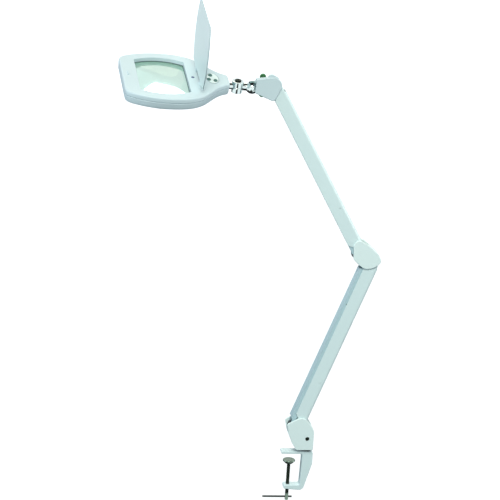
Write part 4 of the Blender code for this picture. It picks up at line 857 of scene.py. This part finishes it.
shares = [math.sin(math.radians(90 * k / 20)) for k in range(1, 21)]
lens = skin("lens", [lens_loop(s, 1, -0.4) for s in shares] + [lens_loop(s, 5, 5) for s in reversed(shares)])
lens.data.materials.append(lens_glass)
lens.data.materials.append(ground_edge_painted_glow)
lens.data.materials.append(coated_glass)
# The side faces of the lens carry the painted glow of its ground edge.
for face in lens.data.polygons:
    face.material_index = 0 if face.normal.z > 0.3 else 2 if face.normal.z < -0.3 else 1
settle(lens, "domed_lens", HEAD, "head", lens_glass, "lens_glass", "lens", smooth=40)


def band(name, profile):
    """A ring round the window. The profile is a list of (outset, height)."""
    return skin(name, [window_loop(grow, z) for grow, z in profile], comes_round=True)


seal = band("seal", [(-0.9, 5.9), (-0.1, 5.9), (-0.1, 6.9), (-0.5, 7.1), (-0.9, 6.8)])
settle(seal, "lens_seal", HEAD, "head", seal_rubber, "gasket")
hoop = band("hoop", [(0.3, -12), (0, -11.6), (0, -0.3), (0.4, 0.1), (2.5, 0.1), (2.5, -11.6), (2.2, -12)])
settle(hoop, "lens_hoop", HEAD, "head", abs_with_painted_glow, "white_abs", "lens_ring")
glow = band("glow", [(2.8, -11.5), (3.3, -12), (17.3, -12), (17.8, -11.5), (17.8, -9.9), (2.8, -9.9)])
settle(glow, "diffuser_band", HEAD, "head", frosted_acrylic, "diffuser", "diffuser_ring")

# %% [markdown]
# ## Controls
# An oval frame with a raised grey edge surrounds three rubber buttons. The edge is the outer ring of the pad's top
# face, and the field inside it is the same white as the head, so the pad piece carries two finishes.

# %% Control pad and buttons


def oval(grow, z, centre=(-56, 0), rx=14.0, ry=25.0, n=64):
    return [(x, y, z) for x, y in ellipse(rx - grow, ry - grow, centre, n)]


pad = skin("pad", [
    oval(0, 14.1), oval(0, 15.1), oval(0.3, 15.4), oval(1.9, 15.4), oval(2.2, 15.15), oval(6, 15.1), oval(10, 15.1)])
pad.data.materials.append(grey_frame_and_lid_rim_shade)
pad.data.materials.append(moulded_abs)
for face in pad.data.polygons:
    x, y = face.center.x + 56, face.center.y
    face.material_index = 1 if (x / 12.2) ** 2 + (y / 23.2) ** 2 < 0.98 and face.center.z > 15 else 0
for _, x, y in BUTTONS:
    carve(pad, plate("hole", ellipse(4.5, 5.9, (x, y), 40), 0, 30, "Z"))
settle(pad, "control_pad", HEAD, "head", grey_frame_and_lid_rim_shade, "grey_insert", "button_pad")
cap = skin("cap", [
    oval(0, z, (0, 0), rx, ry, 40) for rx, ry, z in (
        (4.2, 5.6, -11), (4.2, 5.6, -0.8), (4.0, 5.4, -0.3), (3.5, 4.9, 0), (2.6, 4.0, -0.05), (1.2, 2.2, -0.3))])
for name, x, y in BUTTONS:
    one = cap.copy()
    one.data = cap.data.copy()
    bpy.context.scene.collection.objects.link(one)
    where = HEAD @ Matrix.Translation((x * MM, y * MM, 16.6 * MM))
    settle(one, name + "_button", where, name + "_cap", button_rubber, "button_rubber", "button_" + name)
bpy.data.objects.remove(cap, do_unlink=True)
bumper = turned("bumper", [(3.5, 14.1), (3.5, 14.9), (3.2, 15.25), (2.4, 15.4)], centre=(-99, 0), sides=40)
settle(bumper, "bumper_dot", HEAD, "head", blue_rubber, "gasket", "lid_bumper")

# %% [markdown]
# ## The lid
# The lid follows the window's bow with an overlap all round. It is drawn closed, lying flat, with its hinge knuckles at
# the origin, and the lid's frame opens it. A shallow step round the rim keeps a moulded sheet this wide stiff.

# %% Lid
lid_outline = []
for sign in (-1, 1):
    for t in (-1, *[-0.84 + 0.07 * k for k in range(25)], 1):
        lid_outline.append((-76.5 - sign * 72 * t, sign * (76 + 17 * (1 - t * t)), 9 if sign * t > 0.99 else 3))
lid_outline = fillet(lid_outline, 9.0, 4)
lid = skin("lid", [
    [(x, y, z) for x, y in inset(lid_outline, d)] for d, z in (
        (0.8, -3.4), (0.25, -3.15), (0, -2.6), (0, -1.8), (0.25, -1.25), (0.8, -1.0), (5.5, -1.0), (6.2, -1.3))])
for side in (-1, 1):
    low, high = sorted((side * 31.8, side * 50))
    carve(lid, plate("arm", [(-9, -3), (0, -3), (0, -1.4), (-9, -1.4)], low + 0.6, high - 0.6), way="UNION")
    barrel = turned("barrel", [(3.0, low), (3.4, low + 0.4), (3.4, high - 0.4), (3.0, high)], "Y", sides=32)
    carve(lid, barrel, way="UNION")
carve(lid, turned("hole", [(1.8, -60), (1.8, 60)], "Y", sides=24))
# The lid's side walls take the grey finish, as painted shade along its rim.
lid.data.materials.append(moulded_abs)
lid.data.materials.append(grey_frame_and_lid_rim_shade)
for face in lid.data.polygons:
    face.material_index = 1 if abs(face.normal.z) < 0.5 and face.center.x < -6 else 0
settle(lid, "lens_cover_lid", LID, "lid", moulded_abs, "white_abs", "lens_lid")

# %% [markdown]
# ## Pieces that keep their CAD mesh
# Pins, blocks and boards are right as they are. They only need a finish. The post and the elbow block are made near
# black, as painted shade for the gaps where they show between the cheeks. A CAD node's mesh is left
# alone, so the finish goes into its material slots.

# %% Finishes for the carried pieces
kept = {
    "post_bush": nylon, "base_post": black_cast_painted_gap_shade, "elbow_block": black_cast_painted_gap_shade, "head_bracket_block": die_cast,
    "led_board": circuit_board, "driver_board": circuit_board, "ball_pin": chrome_plate,
    "lower_spring_pin": powder_coat, "upper_spring_pin": powder_coat}
for name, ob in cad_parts.items():
    if ob.hide_render:
        continue
    for material_slot in ob.material_slots:
        material_slot.material = kept.get(name, zinc_plate)
print("kept CAD nodes:", sum(not ob.hide_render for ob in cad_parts.values()))

# %% [markdown]
# ## Floor, light and camera
# A product photographer works on a white sweep with large soft lamps. The floor shows white to the camera and in
# reflections, and still takes a faint shadow. The lamps are set so that a colour comes out about as it was written. The
# lamp behind the object only lights its back, and is kept out of reflections so that it puts no sheen on the front.

# %% Floor and world
bpy.ops.object.select_all(action="DESELECT")
bpy.ops.mesh.primitive_plane_add(size=80, location=(0, 0, -0.165))
floor = bpy.context.object
floor.name = "studio_floor"
paper = bpy.data.materials.new("white_paper_sweep")
paper.use_nodes = True
tree = paper.node_tree
tree.nodes.clear()
path = add(tree, "LightPath", {})
seen = add(tree, "Math", {0: path.outputs["Is Camera Ray"], 1: path.outputs["Is Glossy Ray"]}, operation="MAXIMUM")
seen = add(tree, "Math", {0: seen.outputs[0], 1: path.outputs["Is Transmission Ray"]}, operation="MAXIMUM")
matt = add(tree, "BsdfDiffuse", {"Color": linear("#717a7e")})
off = add(tree, "VectorMath", {0: add(tree, "TexCoord", {}).outputs["Object"]}, operation="LENGTH")
near_to_far = {"Value": off.outputs["Value"], "From Min": 1.5, "From Max": 6.0, "To Min": 0.86, "To Max": 1.0}
lift = add(tree, "MapRange", near_to_far)
lit = add(tree, "Emission", {"Color": linear("#ffffff"), "Strength": lift.outputs[0]})
sum_of = add(tree, "AddShader", {0: matt.outputs[0], 1: lit.outputs[0]})
both = add(tree, "MixShader", {0: seen.outputs[0], 1: matt.outputs[0], 2: sum_of.outputs[0]})
add(tree, "OutputMaterial", {"Surface": both.outputs[0]})
floor.data.materials.append(paper)

world = bpy.data.worlds.new("soft_room")
bpy.context.scene.world = world
world.use_nodes = True
tree = world.node_tree
tree.nodes.clear()
path = add(tree, "LightPath", {})
seen = add(tree, "Math", {0: path.outputs["Is Camera Ray"], 1: path.outputs["Is Glossy Ray"]}, operation="MAXIMUM")
seen = add(tree, "Math", {0: seen.outputs[0], 1: path.outputs["Is Transmission Ray"]}, operation="MAXIMUM")
room = add(tree, "Background", {"Color": linear("#cfe2f5"), "Strength": 0.35})
white = add(tree, "Background", {"Color": linear("#ffffff"), "Strength": 1.0})
both = add(tree, "MixShader", {0: seen.outputs[0], 1: room.outputs[0], 2: white.outputs[0]})
add(tree, "OutputWorld", {"Surface": both.outputs[0]})
print("floor and world are ready")

# %% Lamps
for name, spot_at, wide, tall, power, tone in (
        ("key_softbox", (-0.9, -6.0, 6.4), 5.0, 5.0, 670, "#fdfdf3"),
        ("fill_softbox", (-7.5, -1.6, 1.9), 4.0, 4.0, 240, "#e9f3ff"),
        ("rim_softbox", (6.6, -0.8, 1.5), 3.0, 3.0, 190, "#ffffff"),
        ("back_softbox", (0.25, 4.7, 6.6), 2.6, 1.3, 30, "#fff1d4"),
        ("back_fill_softbox", (1.0, 7.6, 2.0), 5.0, 5.0, 330, "#f4f9ff"),
        ("top_softbox", (-0.4, 0.5, 5.2), 3.0, 3.0, 48, "#ffe8cf")):
    bpy.ops.object.select_all(action="DESELECT")
    bpy.ops.object.light_add(type="AREA", location=spot_at)
    lamp = bpy.context.object
    lamp.name = name
    lamp.data.shape = "ELLIPSE"
    lamp.data.size, lamp.data.size_y = wide, tall
    lamp.data.energy = power
    lamp.data.color = linear(tone)[:3]
    lamp.visible_glossy = name not in ("back_fill_softbox", "top_softbox")
    lamp.rotation_euler = (Vector((-0.1, 0, 0.5)) - Vector(spot_at)).to_track_quat("-Z", "Y").to_euler()
    print(name, "at", spot_at)

# %% [markdown]
# Chrome only looks like chrome when it has something dark to mirror. Photographers lay black cards, called flags, on
# and over the set. These are seen by reflections alone, so they darken nothing else.

# %% Black flags
flag_card = bpy.data.materials.new("black_card")
flag_card.use_nodes = True
card = flag_card.node_tree
card.nodes["Principled BSDF"].inputs["Roughness"].default_value = 0.9
soot = add(card, "TexNoise", {"Vector": add(card, "TexCoord", {}).outputs["Object"], "Scale": per_metre(200)})
dark = add(card, "Mix", {0: soot.outputs[0], 6: linear("#060808"), 7: linear("#101414")}, data_type="RGBA")
card.links.new(dark.outputs[2], card.nodes["Principled BSDF"].inputs["Base Color"])
for name, flag_at, wide, deep in (
        ("flag_above", (0, -0.75, 3.1), 5.0, 4.3),
        ("flag_below", (0, 2.9, -0.1), 2.6, 6.3),
        ("flag_front", (-0.34, -0.95, -0.1), 0.7, 1.4),
        ("flag_right", (1.5, 0.1, -0.1), 0.5, 0.8),
        ("flag_left", (-2.9, 1.7, -0.1), 1.2, 2.2)):
    bpy.ops.object.select_all(action="DESELECT")
    bpy.ops.mesh.primitive_plane_add(size=1)
    flag = bpy.context.object
    flag.name = name
    flag.data.transform(Matrix.Translation(flag_at) @ Matrix.Diagonal((wide, deep, 1, 1)))
    flag.data.materials.append(flag_card)
    flag.visible_camera = flag.visible_diffuse = flag.visible_shadow = flag.visible_transmission = False
print("flags are up")

# %% Camera
CAMERA_AT = Vector((-0.7247226, -4.2835804, 1.7164429))
CAMERA_AIM = Vector((-0.1227046, 0.0, 0.4760748))
back = (CAMERA_AT - CAMERA_AIM).normalized()
right = Vector((math.cos(math.radians(8)), -math.sin(math.radians(8)), 0))
up = back.cross(right)
roll = math.radians(3.5)
right, up = right * math.cos(roll) + up * math.sin(roll), up * math.cos(roll) - right * math.sin(roll)
bpy.ops.object.select_all(action="DESELECT")
bpy.ops.object.camera_add()
camera = bpy.context.object
camera.matrix_world = Matrix.Translation(CAMERA_AT) @ Matrix((right, up, back)).transposed().to_4x4()
camera.data.sensor_fit = "HORIZONTAL"
camera.data.angle = 2 * math.atan(250 * 2.2 / 4500)
camera.data.clip_end = 100
scene = bpy.context.scene
scene.camera = camera
scene.view_settings.view_transform = "Standard"
print("camera field of view:", round(math.degrees(camera.data.angle), 2), "degrees")
